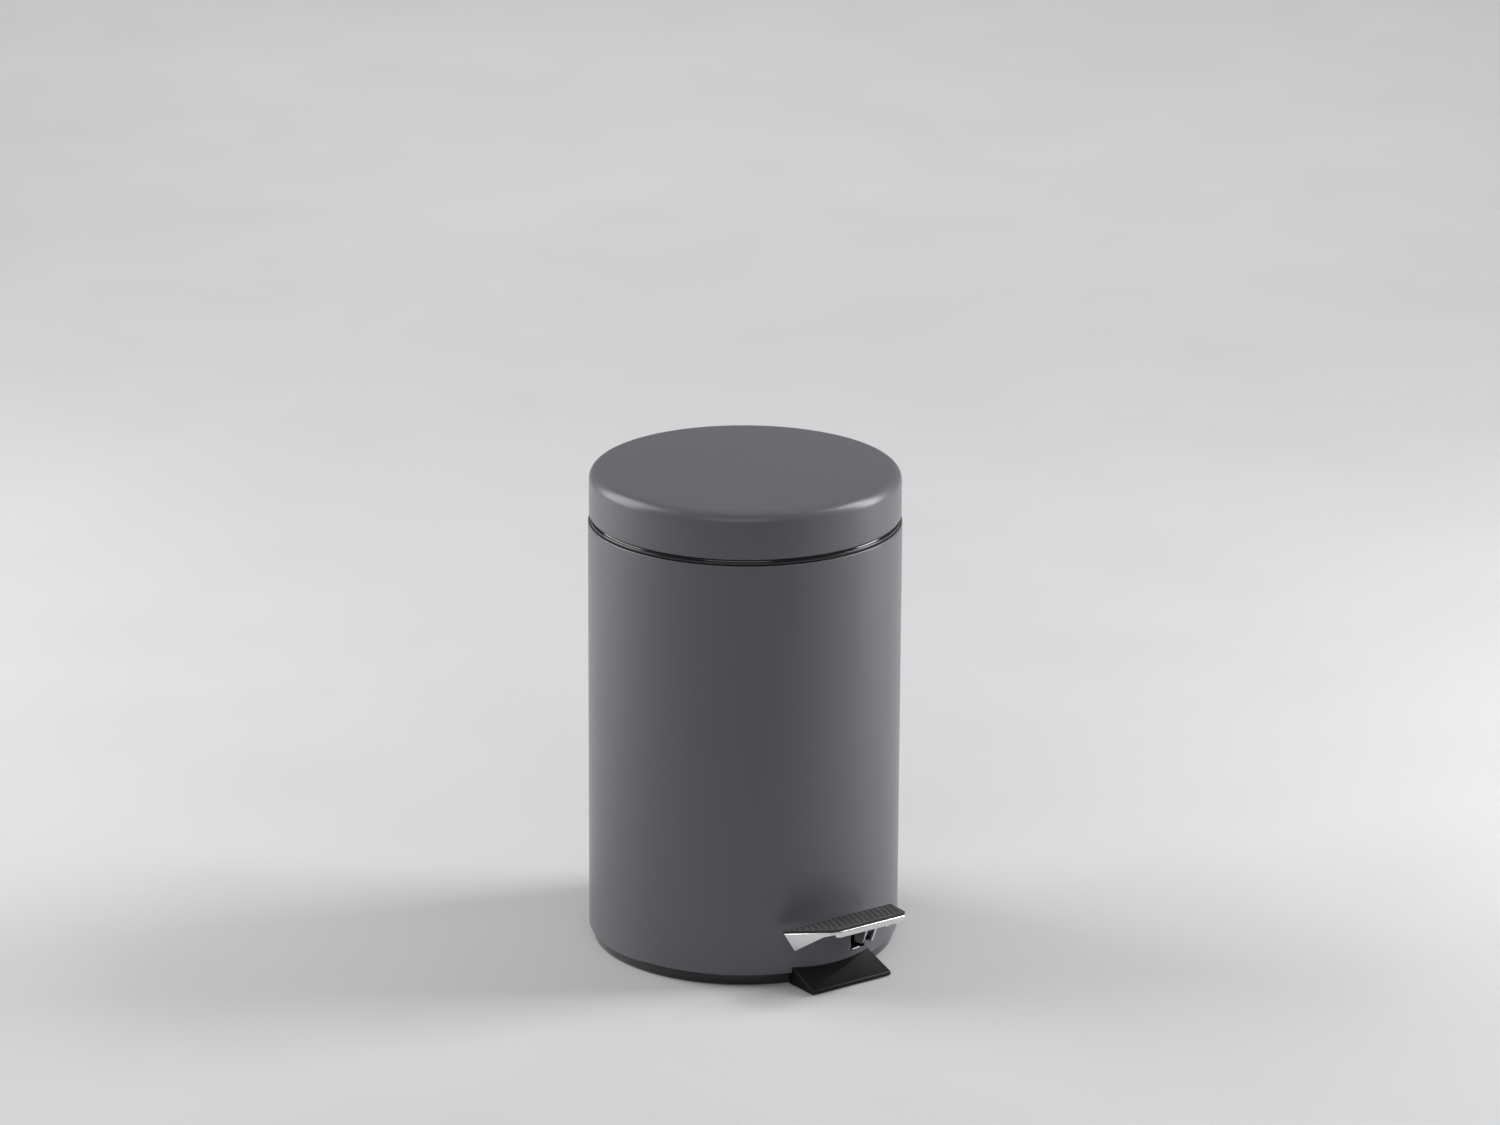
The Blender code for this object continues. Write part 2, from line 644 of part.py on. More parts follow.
def push_nut(name, radius, x_from, x_to, y, z, parent):
    disc = rod(name, 3.0 * MM, (x_from, y, z), (x_to, y, z))
    hole = rod("nut_hole", radius + GAP, (x_from - 5 * MM, y, z), (x_to + 5 * MM, y, z))
    return put(cut(disc, hole), steel, parent)


def make_push_rod():
    end_x = 17.6 * MM
    route = [(end_x, HOOK_Y, HOOK_Z), (ROD_X, HOOK_Y, HOOK_Z)]
    route += [(ROD_X, HOOK_Y, TOE_Z), (end_x, HOOK_Y, TOE_Z)]
    put(wire("push_rod", route, ROD_R, 2.4 * MM), steel, rod_axis)
    push_nut("push_nut_top", ROD_R, 15.6 * MM, 16.6 * MM, HOOK_Y, HOOK_Z, rod_axis)
    push_nut("push_nut_bottom", ROD_R, 15.6 * MM, 16.6 * MM, HOOK_Y, TOE_Z, rod_axis)


def clip_point(reach, height):
    """A point at this distance from the bin's axis, in the direction of the damper."""
    return (reach * math.sin(DAMPER_TURN), reach * math.cos(DAMPER_TURN), height)


def make_damper():
    bore = 3.4 * MM
    wall_r = DAMPER_R
    mouth = DAMPER_ROD_R + 0.35 * MM
    profile = [
        (0, CYLINDER_HIGH),
        (wall_r - 0.8 * MM, CYLINDER_HIGH),
        (wall_r, CYLINDER_HIGH - 0.8 * MM),
        (wall_r, CYLINDER_LOW),
        (mouth, CYLINDER_LOW),
        (mouth, CYLINDER_LOW + 3 * MM),
        (bore, CYLINDER_LOW + 3 * MM),
        (bore, CYLINDER_HIGH - 2 * MM),
        (0, CYLINDER_HIGH - 2 * MM),
    ]
    cylinder = lathe("damper_cylinder", profile, 24)
    cylinder.location = (DAMPER_X, DAMPER_Y, 0)
    put(cylinder, matt_black, bin_axis)

    end_x = 17.4 * MM
    low = (DAMPER_X, DAMPER_Y, CYLINDER_LOW + 6 * MM)
    middle = (DAMPER_X, DAMPER_Y, CYLINDER_LOW + 8 * MM)
    high = (DAMPER_X, DAMPER_Y, CYLINDER_LOW + 11 * MM)
    route = [(end_x, DAMPER_Y, TOE_Z), (DAMPER_X, DAMPER_Y, TOE_Z), middle]
    rod_wire = wire("damper_rod", route, DAMPER_ROD_R, 2.2 * MM)
    piston = rod("piston", bore - GAP, low, high, 24)
    put(join(rod_wire, piston), steel, damper_axis)
    push_nut("damper_nut", DAMPER_ROD_R, 17.8 * MM, 18.7 * MM, DAMPER_Y, TOE_Z, damper_axis)


def make_damper_clips():
    pad_half, pad_end = 5.0 * MM, 82.6 * MM
    ring_r = 6.6 * MM
    centre = (0, DAMPER_REACH)
    for height, level in zip(CLIP_HEIGHTS, ("lower", "upper")):
        outline = [(pad_half, pad_end), (-pad_half, pad_end)]
        outline += arc(centre, ring_r, 140, 400, 14)
        hole = arc(centre, DAMPER_R + GAP, 0, 345, 23)
        name = f"damper_clip_{level}"
        clip = apply_place(flat_plate(name, [outline, hole], height - 5 * MM, height + 5 * MM))
        clip.rotation_euler.z = -DAMPER_TURN
        clip = apply_place(clip)
        reach = [clip_point(r * MM, height) for r in (77.5, 79.6, 84.35, 85.0, 85.6, 95.0)]
        put(cut(clip, rod("hole", 1.7 * MM, reach[0], reach[5])), matt_black, bin_axis)
        shank = rod(f"clip_rivet_{level}", 1.4 * MM, reach[1], reach[3])
        head = rod("head", 3.0 * MM, reach[2], reach[4])
        put(join(shank, head), steel, bin_axis)


def make_inner_bucket():
    low = FLOOR_TOP + 0.4 * MM
    wall = 1.5 * MM
    rim_r = 73.0 * MM
    profile = [
        (0, low + 2.0 * MM),
        (58.5 * MM, low + 2.0 * MM),
        (62.0 * MM, low + 5.5 * MM),
        (71.4 * MM - wall, BUCKET_RIM - 1.0 * MM),
        (71.4 * MM - wall + 1.0 * MM, BUCKET_RIM),
        (rim_r - 0.6 * MM, BUCKET_RIM),
        (rim_r, BUCKET_RIM - 0.6 * MM),
        (rim_r, BUCKET_RIM - 3.0 * MM),
        (rim_r - 1.2 * MM, BUCKET_RIM - 3.0 * MM),
        (71.3 * MM, BUCKET_RIM - 2.2 * MM),
        (63.5 * MM, low + 5.0 * MM),
        (59.5 * MM, low),
        (0, low),
    ]
    bucket = lathe("inner_bucket", profile)
    bucket.location.y = BUCKET_Y
    bucket = apply_place(bucket)
    holes = []
    for side in (-1, 1):
        inside, outside = (side * 60 * MM, BUCKET_Y, BAIL_Z), (side * 80 * MM, BUCKET_Y, BAIL_Z)
        holes.append(rod("bail_hole", 1.9 * MM, inside, outside))
    return put(cut(bucket, *holes), bucket_black, bin_axis)


def bail_point(angle):
    turn = math.radians(angle)
    return (BAIL_REACH * math.cos(turn), BUCKET_Y - BAIL_DEPTH * math.sin(turn), BAIL_LIE)


def make_bucket_handle():
    side = [(66.5 * MM, BUCKET_Y, BAIL_Z), (73.0 * MM, BUCKET_Y, BAIL_Z)]
    side += [(74.6 * MM, BUCKET_Y, BAIL_Z + 0.6 * MM), (75.2 * MM, BUCKET_Y, BAIL_Z + 2.2 * MM)]
    side += [(75.2 * MM, BUCKET_Y - 0.5 * MM, 227.5 * MM), (75.1 * MM, BUCKET_Y - 2.0 * MM, 230.2 * MM)]
    bow = [bail_point(angle) for angle in range(6, 175, 6)]
    path = side + bow + [(-x, y, z) for x, y, z in reversed(side)]
    put(tube("bucket_handle", path, ROD_R, 2), steel, bin_axis)

    sleeve = [bail_point(angle) for angle in range(72, 109, 4)]
    room = [bail_point(angle) for angle in range(60, 121, 6)]
    grip = tube("handle_grip", sleeve, 3.4 * MM, 4)
    put(cut(grip, tube("wire_room", room, ROD_R + 0.4 * MM, 3)), bucket_black, bin_axis)


make_body_shell()
make_rim_ring()
make_base_ring()
make_anti_slip_ring()
make_floor_plate()
make_lid_shell()
make_lid_bracket()
make_hinge_block()
make_hinge_pin()
make_hinge_screws()
make_pedal_lever()
make_pedal_plate()
make_pedal_tread()
make_pedal_rivets()
make_pivot_bracket()
make_pivot_pin()
make_bracket_rivets()
make_push_rod()
make_damper()
make_damper_clips()
make_inner_bucket()
make_bucket_handle()
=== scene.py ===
"""Looks of the pedal trash can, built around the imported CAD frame.

Lengths are metres. Shapes are drawn about the bin's own vertical axis, whose place comes from the
frame, and every piece rides on the CAD body that it belongs to.
"""

import math

import bmesh
import bpy
from mathutils import Matrix, Vector


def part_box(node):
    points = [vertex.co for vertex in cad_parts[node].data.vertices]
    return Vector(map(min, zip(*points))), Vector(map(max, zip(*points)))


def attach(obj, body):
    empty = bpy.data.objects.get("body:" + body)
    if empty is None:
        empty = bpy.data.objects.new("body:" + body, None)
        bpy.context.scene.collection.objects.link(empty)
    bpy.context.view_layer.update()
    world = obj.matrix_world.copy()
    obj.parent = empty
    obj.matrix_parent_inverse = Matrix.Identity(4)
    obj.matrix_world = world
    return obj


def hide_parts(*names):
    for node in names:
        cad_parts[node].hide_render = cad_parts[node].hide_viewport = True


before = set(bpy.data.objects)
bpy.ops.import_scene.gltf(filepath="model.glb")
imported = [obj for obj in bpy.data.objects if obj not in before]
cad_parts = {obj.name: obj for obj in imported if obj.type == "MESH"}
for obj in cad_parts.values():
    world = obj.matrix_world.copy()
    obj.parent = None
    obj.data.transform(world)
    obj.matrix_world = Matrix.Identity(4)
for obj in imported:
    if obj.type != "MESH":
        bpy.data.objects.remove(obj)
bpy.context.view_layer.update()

MM = 0.001
ROUND = 256  # segments round the large turned shells
SMALL = 48  # segments round pins, rivets and wires


def centre_of(node):
    low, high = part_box(node)
    return (low + high) / 2


def size_of(node):
    low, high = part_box(node)
    return high - low


# Sizes read from the frame, about the bin's own axis
AXIS = Vector((0, centre_of("body_shell").y, 0))
BODY_R = size_of("body_shell").x / 2
BODY_LOW, BODY_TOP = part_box("body_shell")[0].z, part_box("body_shell")[1].z
LID_R = size_of("lid_shell").x / 2
LID_LOW, LID_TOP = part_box("lid_shell")[0].z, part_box("lid_shell")[1].z
RIM_R = size_of("rim_ring").x / 2
RIM_LOW, RIM_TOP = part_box("rim_ring")[0].z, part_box("rim_ring")[1].z
BASE_R = size_of("base_ring").x / 2
BASE_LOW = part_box("base_ring")[0].z
BASE_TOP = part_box("base_ring")[1].z
FOOT_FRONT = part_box("base_ring")[0].y - AXIS.y
BUCKET_LOW, BUCKET_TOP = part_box("inner_bucket")[0].z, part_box("inner_bucket")[1].z
BUCKET_R = size_of("inner_bucket").x / 2
BUCKET_Y = centre_of("inner_bucket").y - AXIS.y
PLATE_REAR_HALF = size_of("pedal_plate").x / 2
PLATE_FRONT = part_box("pedal_plate")[0].y - AXIS.y
LEVER_X = centre_of("pedal_lever").x
SHEET = 0.8 * MM


# ---------------------------------------------------------------- materials


class Graph:
    """A material's node tree with short calls for the nodes used here."""

    def __init__(self, name, color, roughness, metallic=0.0):
        self.material = bpy.data.materials.new(name)
        self.material.use_nodes = True
        self.nodes = self.material.node_tree.nodes
        self.links = self.material.node_tree.links
        self.shader = self.nodes["Principled BSDF"]
        self.shader.inputs["Base Color"].default_value = (*color, 1)
        self.shader.inputs["Roughness"].default_value = roughness
        self.shader.inputs["Metallic"].default_value = metallic
        self.place = self.nodes.new("ShaderNodeTexCoord").outputs["Object"]
        self.height = None

    def stretched(self, scale):
        mapping = self.nodes.new("ShaderNodeMapping")
        mapping.inputs["Scale"].default_value = scale
        self.links.new(self.place, mapping.inputs["Vector"])
        return mapping.outputs["Vector"]

    def noise(self, scale, detail=3.0, roughness=0.55, stretch=None):
        made = self.nodes.new("ShaderNodeTexNoise")
        made.inputs["Scale"].default_value = scale
        made.inputs["Detail"].default_value = detail
        made.inputs["Roughness"].default_value = roughness
        source = self.place if stretch is None else self.stretched(stretch)
        self.links.new(source, made.inputs["Vector"])
        return made.outputs["Fac"]

    def spread(self, value, low, high, from_low=0.28, from_high=0.72):
        """A value mapped softly from one range to another, and held at both ends."""
        made = self.nodes.new("ShaderNodeMapRange")
        made.interpolation_type = "SMOOTHSTEP"
        made.inputs["From Min"].default_value = from_low
        made.inputs["From Max"].default_value = from_high
        made.inputs["To Min"].default_value = low
        made.inputs["To Max"].default_value = high
        self.links.new(value, made.inputs["Value"])
        return made.outputs["Result"]

    def total(self, first, second, operation="ADD"):
        made = self.nodes.new("ShaderNodeMath")
        made.operation = operation
        made.use_clamp = True
        self.links.new(first, made.inputs[0])
        self.links.new(second, made.inputs[1])
        return made.outputs["Value"]

    def edges(self, start=0.52, end=0.60):
        """1 on convex edges, where handling rubs the finish and where an edge highlight is painted, and 0
        on flat faces.
        """
        pointiness = self.nodes.new("ShaderNodeNewGeometry").outputs["Pointiness"]
        return self.spread(pointiness, 0.0, 1.0, start, end)

    def mix(self, share, first, second):
        made = self.nodes.new("ShaderNodeMix")
        made.data_type = "RGBA"
        colour_inputs = [s for s in made.inputs if s.type == "RGBA"]
        for socket, value in zip(colour_inputs, (first, second)):
            if isinstance(value, tuple):
                socket.default_value = (*value, 1)
            else:
                self.links.new(value, socket)
        self.links.new(share, made.inputs[0])
        return [s for s in made.outputs if s.type == "RGBA"][0]

    def color(self, value):
        self.links.new(value, self.shader.inputs["Base Color"])

    def roughness(self, value):
        self.links.new(value, self.shader.inputs["Roughness"])

    def bump(self, value, depth):
        """Relief of this depth in metres, added over any relief already there."""
        made = self.nodes.new("ShaderNodeBump")
        made.inputs["Strength"].default_value = 1.0
        made.inputs["Distance"].default_value = depth
        self.links.new(value, made.inputs["Height"])
        if self.height is not None:
            self.links.new(self.height, made.inputs["Normal"])
        self.height = made.outputs["Normal"]
        self.links.new(self.height, self.shader.inputs["Normal"])


def paint_material():
    """Satin anthracite lacquer: faint orange peel, uneven sheen, and lighter edges, partly wear and partly
    a painted edge highlight.
    """
    g = Graph("anthracite_paint", (0.096, 0.094, 0.106), 0.35)
    cloud = g.noise(9.0, 4.0)
    tone = g.mix(g.spread(cloud, 0.0, 1.0), (0.0945, 0.0925, 0.1045), (0.0975, 0.0955, 0.1075))
    fleck = g.spread(g.noise(2600.0, 1.0), 0.0, 0.35, 0.62, 0.75)
    tone = g.mix(fleck, tone, (0.13, 0.128, 0.14))
    # Convex edges are painted lighter: partly rubbed wear, partly a painted edge highlight.
    g.color(g.mix(g.spread(g.edges(), 0.0, 0.35, 0.0, 1.0), tone, (0.16, 0.158, 0.17)))
    g.roughness(g.spread(g.noise(14.0, 3.0), 0.285, 0.33))
    g.bump(g.noise(420.0, 2.0), 0.012 * MM)
    g.bump(g.noise(1900.0, 2.0), 0.004 * MM)
    g.shader.inputs["Specular IOR Level"].default_value = 0.35
    return g.material


def steel_material(name, color, low, high, along, grain, depth):
    """Rolled or brushed sheet steel: fine grain lines along one direction, and soft stains."""
    g = Graph(name, color, (low + high) / 2, 1.0)
    lines = g.noise(grain, 3.0, 0.6, along)
    cloud = g.noise(26.0, 5.0, 0.6)
    darker = tuple(0.86 * c for c in color)
    share = g.total(g.spread(lines, 0.0, 0.5), g.spread(cloud, 0.0, 0.5))
    g.color(g.mix(share, darker, color))
    g.roughness(g.total(g.spread(cloud, low, high), g.spread(lines, -0.03, 0.05)))
    g.bump(lines, depth)
    g.bump(g.noise(60.0, 3.0), 0.02 * MM)
    return g.material


def plastic_material(name, color, low, high, grain, depth, edge_wear_and_highlight, shine=0.5):
    """Moulded plastic: fine erosion grain, uneven gloss, and paler edges, partly rubbed wear and partly a
    painted edge highlight.
    """
    g = Graph(name, color, (low + high) / 2)
    cloud = g.noise(14.0, 4.0)
    lighter = tuple(1.35 * c for c in color)
    tone = g.mix(g.spread(cloud, 0.0, 1.0), color, lighter)
    # Convex edges are painted paler: partly rubbed wear, partly a painted edge highlight.
    worn_and_highlit = tuple(c + edge_wear_and_highlight for c in color)
    g.color(g.mix(g.spread(g.edges(), 0.0, 0.6, 0.0, 1.0), tone, worn_and_highlit))
    g.roughness(g.spread(g.noise(90.0, 5.0), low, high))
    g.bump(g.noise(grain, 2.0, 0.5), depth)
    g.shader.inputs["Specular IOR Level"].default_value = shine
    return g.material


def rubber_material(name, color):
    """Rubber: dusty patches, uneven dullness and a fine grain."""
    g = Graph(name, color, 0.75)
    cloud = g.noise(30.0, 5.0)
    dusty = tuple(1.5 * c for c in color)
    g.color(g.mix(g.spread(cloud, 0.0, 1.0), color, dusty))
    g.roughness(g.spread(g.noise(260.0, 4.0), 0.58, 0.8))
    g.bump(g.noise(2400.0, 3.0), 0.02 * MM)
    return g.material


PAINT = paint_material()
INNER_STEEL = steel_material(
    "inner_steel", (0.74, 0.74, 0.745), 0.32, 0.38, along=(1, 0.02, 1), grain=1500.0, depth=0.006 * MM
)
BRIGHT = steel_material(
    "bright_steel", (0.78, 0.78, 0.79), 0.18, 0.22, along=(0.03, 1, 1), grain=1800.0, depth=0.006 * MM
)
PLAIN = steel_material(
    "plain_steel", (0.52, 0.52, 0.53), 0.32, 0.45, along=(1, 1, 0.05), grain=900.0, depth=0.008 * MM
)
# Each plastic's wear number lightens its convex edges: partly wear, partly a painted edge highlight.
GLOSS = plastic_material(
    "gloss_black_plastic", (0.010, 0.010, 0.011), 0.10, 0.18, grain=700.0, depth=0.002 * MM, edge_wear_and_highlight=0.02
)
MATT = plastic_material(
    "matt_black_plastic", (0.014, 0.014, 0.015), 0.42, 0.56, grain=1600.0, depth=0.02 * MM, edge_wear_and_highlight=0.03
)
BUCKET = plastic_material(
    "bucket_plastic", (0.022, 0.022, 0.024), 0.34, 0.46, grain=1100.0, depth=0.012 * MM, edge_wear_and_highlight=0.03
)
FOOT = plastic_material(
    "foot_plastic", (0.006, 0.006, 0.0063), 0.42, 0.52, grain=1400.0, depth=0.02 * MM, edge_wear_and_highlight=0.03, shine=0.12
)
RUBBER = rubber_material("black_rubber", (0.012, 0.012, 0.0125))
# A lighter copy of the black rubber, for the tread's pad between the pips.
PAD_RUBBER_LIGHTER = rubber_material("pad_rubber_lighter", (0.045, 0.045, 0.047))


# ---------------------------------------------------------------- shape helpers


def new_object(name, work, materials, sharp=32):
    """An object in the bin's own axes from a bmesh, smooth apart from its sharp edges."""
    bmesh.ops.recalc_face_normals(work, faces=work.faces)
    mesh = bpy.data.meshes.new(name)
    work.to_mesh(mesh)
    work.free()
    for material in materials:
        mesh.materials.append(material)
    obj = bpy.data.objects.new(name, mesh)
    bpy.context.scene.collection.objects.link(obj)
    smooth(obj, sharp)
    return obj


def smooth(obj, sharp=32):
    obj.data.shade_smooth()
    obj.data.set_sharp_from_angle(angle=math.radians(sharp))


def finish_piece(obj, body, nodes, moved=True):
    """Put a piece at its place in the row frame, hang it on the body that it rides on, and hide the CAD
    nodes that it takes the place of.
    """
    if moved:
        obj.data.transform(Matrix.Translation(AXIS))
    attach(obj, body)
    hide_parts(*nodes)
    return obj


def applied(obj):
    """Replace the object's mesh by its evaluated mesh, and clear its modifiers."""
    bpy.context.view_layer.update()
    graph = bpy.context.evaluated_depsgraph_get()
    mesh = bpy.data.meshes.new_from_object(obj.evaluated_get(graph))
    obj.modifiers.clear()
    obj.data = mesh
    return obj


def boolean(obj, other, operation):
    step = obj.modifiers.new(operation.lower(), "BOOLEAN")
    step.operation = operation
    step.object = other
    step.solver = "EXACT"
    applied(obj)
    bpy.data.objects.remove(other)
    return obj


def bevelled(obj, width, segments=3, angle=30):
    step = obj.modifiers.new("bevel", "BEVEL")
    step.width = width
    step.segments = segments
    step.limit_method = "ANGLE"
    step.angle_limit = math.radians(angle)
    step.harden_normals = False
    return applied(obj)


def arc(centre, radius, first, last, steps):
    """Points on an arc, in degrees from the drawing's +x towards its +y."""
    points = []
    for step in range(steps + 1):
        angle = math.radians(first + (last - first) * step / steps)
        points.append((centre[0] + radius * math.cos(angle), centre[1] + radius * math.sin(angle)))
    return points


def turned(name, profile, materials, segments=ROUND, inside=(), offset=None):
    """Turn a closed (radius, height) profile about the axis.

    Profile edges whose index is in inside get the second material. offset(angle, index) gives
    an extra radius, for seams and ribs.
    """
    work = bmesh.new()
    rings = []
    for index, (radius, height) in enumerate(profile):
        if radius < 1e-7:
            rings.append([work.verts.new((0, 0, height))] * segments)
            continue
        ring = []
        for step in range(segments):
            angle = 2 * math.pi * step / segments
            r = radius + (offset(angle, index) if offset else 0.0)
            ring.append(work.verts.new((r * math.cos(angle), r * math.sin(angle), height)))
        rings.append(ring)
    count = len(profile)
    for index in range(count):
        upper, lower = rings[index], rings[(index + 1) % count]
        if upper[0] is upper[1] and lower[0] is lower[1]:
            continue
        for step in range(segments):
            after = (step + 1) % segments
            corners = []
            for vertex in (upper[step], upper[after], lower[after], lower[step]):
                if vertex not in corners:
                    corners.append(vertex)
            face = work.faces.new(corners)
            face.material_index = 1 if index in inside else 0
    return new_object(name, work, materials)


def turned_along(obj, start, direction):
    """Swing a piece turned about +Z so that its axis runs from start in the given direction."""
    turn = Vector(direction).to_track_quat("Z", "Y").to_matrix().to_4x4()
    obj.data.transform(Matrix.Translation(start) @ turn)
    return obj


def prism(name, outline, low, high, materials):
    """A closed block with this outline in x and y."""
    work = bmesh.new()
    bottom = [work.verts.new((x, y, low)) for x, y in outline]
    top = [work.verts.new((x, y, high)) for x, y in outline]
    work.faces.new(bottom)
    work.faces.new(top)
    for index in range(len(outline)):
        after = (index + 1) % len(outline)
        work.faces.new((bottom[index], bottom[after], top[after], top[index]))
    return new_object(name, work, materials)


def smooth_path(points, rounds=3):
    """Corner cutting, which turns a polygon of points into a soft curve with the same ends."""
    path = [Vector(p) for p in points]
    for _ in range(rounds):
        cut = [path[0]]
        for a, b in zip(path, path[1:]):
            cut += [a.lerp(b, 0.25), a.lerp(b, 0.75)]
        path = cut + [path[-1]]
    return path


def sweep(name, path, radii, materials, sides=24):
    """A closed round tube along a path, with one radius for each point of it."""
    work = bmesh.new()
    rings = []
    tangent = (path[1] - path[0]).normalized()
    side = tangent.orthogonal().normalized()
    for index, (place, radius) in enumerate(zip(path, radii)):
        before, after = path[max(index - 1, 0)], path[min(index + 1, len(path) - 1)]
        tangent = (after - before).normalized()
        side = (side - tangent * side.dot(tangent)).normalized()
        up = tangent.cross(side)
        ring = []
        for step in range(sides):
            angle = 2 * math.pi * step / sides
            ring.append(work.verts.new(place + (side * math.cos(angle) + up * math.sin(angle)) * radius))
        rings.append(ring)
    for near, far in zip(rings, rings[1:]):
        for step in range(sides):
            after = (step + 1) % sides
            work.faces.new((near[step], near[after], far[after], far[step]))
    work.faces.new(rings[0])
    work.faces.new(rings[-1])
    return new_object(name, work, materials)


def refined(node, name, width, material, body, segments=2):
    """A copy of a CAD node with its true edges rounded, in a better material."""
    work = bmesh.new()
    work.from_mesh(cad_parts[node].data)
    bmesh.ops.remove_doubles(work, verts=work.verts, dist=1e-6)
    flat = math.radians(0.8)
    bmesh.ops.dissolve_limit(work, angle_limit=flat, verts=work.verts, edges=work.edges)
    obj = new_object(name, work, [material])
    bevelled(obj, width, segments, 28)
    smooth(obj, 40)
    return finish_piece(obj, body, [node], moved=False)


def dress(node, material):
    """Give a CAD node that stays in view its own better material."""
    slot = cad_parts[node].material_slots[0]
    slot.link = "OBJECT"
    slot.material = material


def rounded(radius, steps, *corners):
    """An outline through (x, y) corners, each rounded by the given radius."""
    outline = []
    count = len(corners)
    for index, corner in enumerate(corners):
        here = Vector(corner)
        before = (Vector(corners[index - 1]) - here).normalized()
        after = (Vector(corners[(index + 1) % count]) - here).normalized()
        half = before.angle(after) / 2
        reach = radius / math.tan(half)
        middle = here + (before + after).normalized() * radius / math.sin(half)
        start, end = here + before * reach - middle, here + after * reach - middle
        for step in range(steps + 1):
            spoke = start.lerp(end, step / steps).normalized() * radius
            outline.append(tuple(middle + spoke))
    return outline


# ---------------------------------------------------------------- body


def seam_at_rear(depth, half_width):
    """Extra radius of a lock seam that runs up the back of the shell."""

    def offset(angle, index):
        away = abs(angle - math.pi / 2) * BODY_R
        return depth if away < half_width else 0.0

    return offset


def build_body_shell():
    curl = 0.55 * MM
    inner = BODY_R - SHEET
    profile = [(inner, BODY_TOP - 0.2 * MM), (inner + 0.15 * MM, BODY_TOP)]
    profile += arc((BODY_R - curl, BODY_TOP - curl), curl, 90, 0, 5)
    outer_start = len(profile) - 1
    for share in (0.02, 0.25, 0.5, 0.75, 0.98):
        profile.append((BODY_R, BODY_TOP - curl + (BODY_LOW + 0.5 * MM - BODY_TOP + curl) * share))
    profile += [(BODY_R, BODY_LOW + 0.3 * MM), (BODY_R - 0.2 * MM, BODY_LOW), (inner, BODY_LOW)]
    outer = range(outer_start + 1, len(profile) - 3)
    groove = seam_at_rear(-0.18 * MM, 2.2 * MM)
    shell = turned(
        "body_sheet",
        profile,
        [PAINT, INNER_STEEL],
        segments=384,
        inside=(len(profile) - 1,),
        offset=lambda angle, index: groove(angle, index) if index in outer else 0.0,
    )
    half = 5.4 * MM
    foot_z, arch_z = 11.7 * MM, 19.2 * MM
    arch = [(LEVER_X - half, foot_z), (LEVER_X + half, foot_z)]
    arch += arc((LEVER_X, arch_z), half, 0, 180, 24)
    slot = prism("lever_slot", arch, -20 * MM, 20 * MM, [PAINT])
    slot.data.transform(Matrix.Translation((0, -BODY_R, 0)) @ Matrix.Rotation(math.pi / 2, 4, "X"))
    boolean(shell, slot, "DIFFERENCE")
    smooth(shell, 30)
    return finish_piece(shell, "bin", ["body_shell"])


def build_rim_ring():
    """Glossy trim ring: a rounded outer bead, a shadow groove under the lid and an inner lip."""
    inner = RIM_R - 3.7 * MM
    bead_low, bead_high = BODY_TOP + 0.35 * MM, RIM_TOP - 0.75 * MM
    bead = 0.45 * MM
    profile = [(inner + 0.5 * MM, RIM_TOP)]
    profile += [(RIM_R - 1.6 * MM, RIM_TOP), (RIM_R - 1.2 * MM, RIM_TOP - 0.2 * MM)]
    profile += [(RIM_R - 1.0 * MM, bead_high + 0.1 * MM)]
    profile += arc((RIM_R - bead, bead_high - bead), bead, 90, 0, 5)
    profile += arc((RIM_R - bead, bead_low + bead), bead, 0, -90, 5)
    skirt = RIM_R - 0.5 * MM
    profile += [(skirt, bead_low), (skirt, RIM_LOW + 0.5 * MM), (skirt - 0.4 * MM, RIM_LOW)]
    profile += [(skirt - 1.2 * MM, RIM_LOW), (skirt - 1.4 * MM, RIM_LOW + 0.3 * MM)]
    profile += [(skirt - 1.4 * MM, BODY_TOP - 0.8 * MM), (inner, BODY_TOP + 0.2 * MM)]
    profile += [(inner, RIM_TOP - 0.5 * MM), (inner + 0.15 * MM, RIM_TOP - 0.15 * MM)]
    ring = turned("trim_ring", profile, [GLOSS], 512)
    left, right, near, far = 6.5 * MM, 19.0 * MM, 60 * MM, 90 * MM
    corners = rounded(1.5 * MM, 6, (left, near), (right, near), (right, far), (left, far))
    notch = prism("rod_notch", corners, RIM_LOW - 5 * MM, RIM_TOP + 5 * MM, [GLOSS])
    boolean(ring, notch, "DIFFERENCE")
    smooth(ring, 35)
    return finish_piece(ring, "bin", ["rim_ring"])


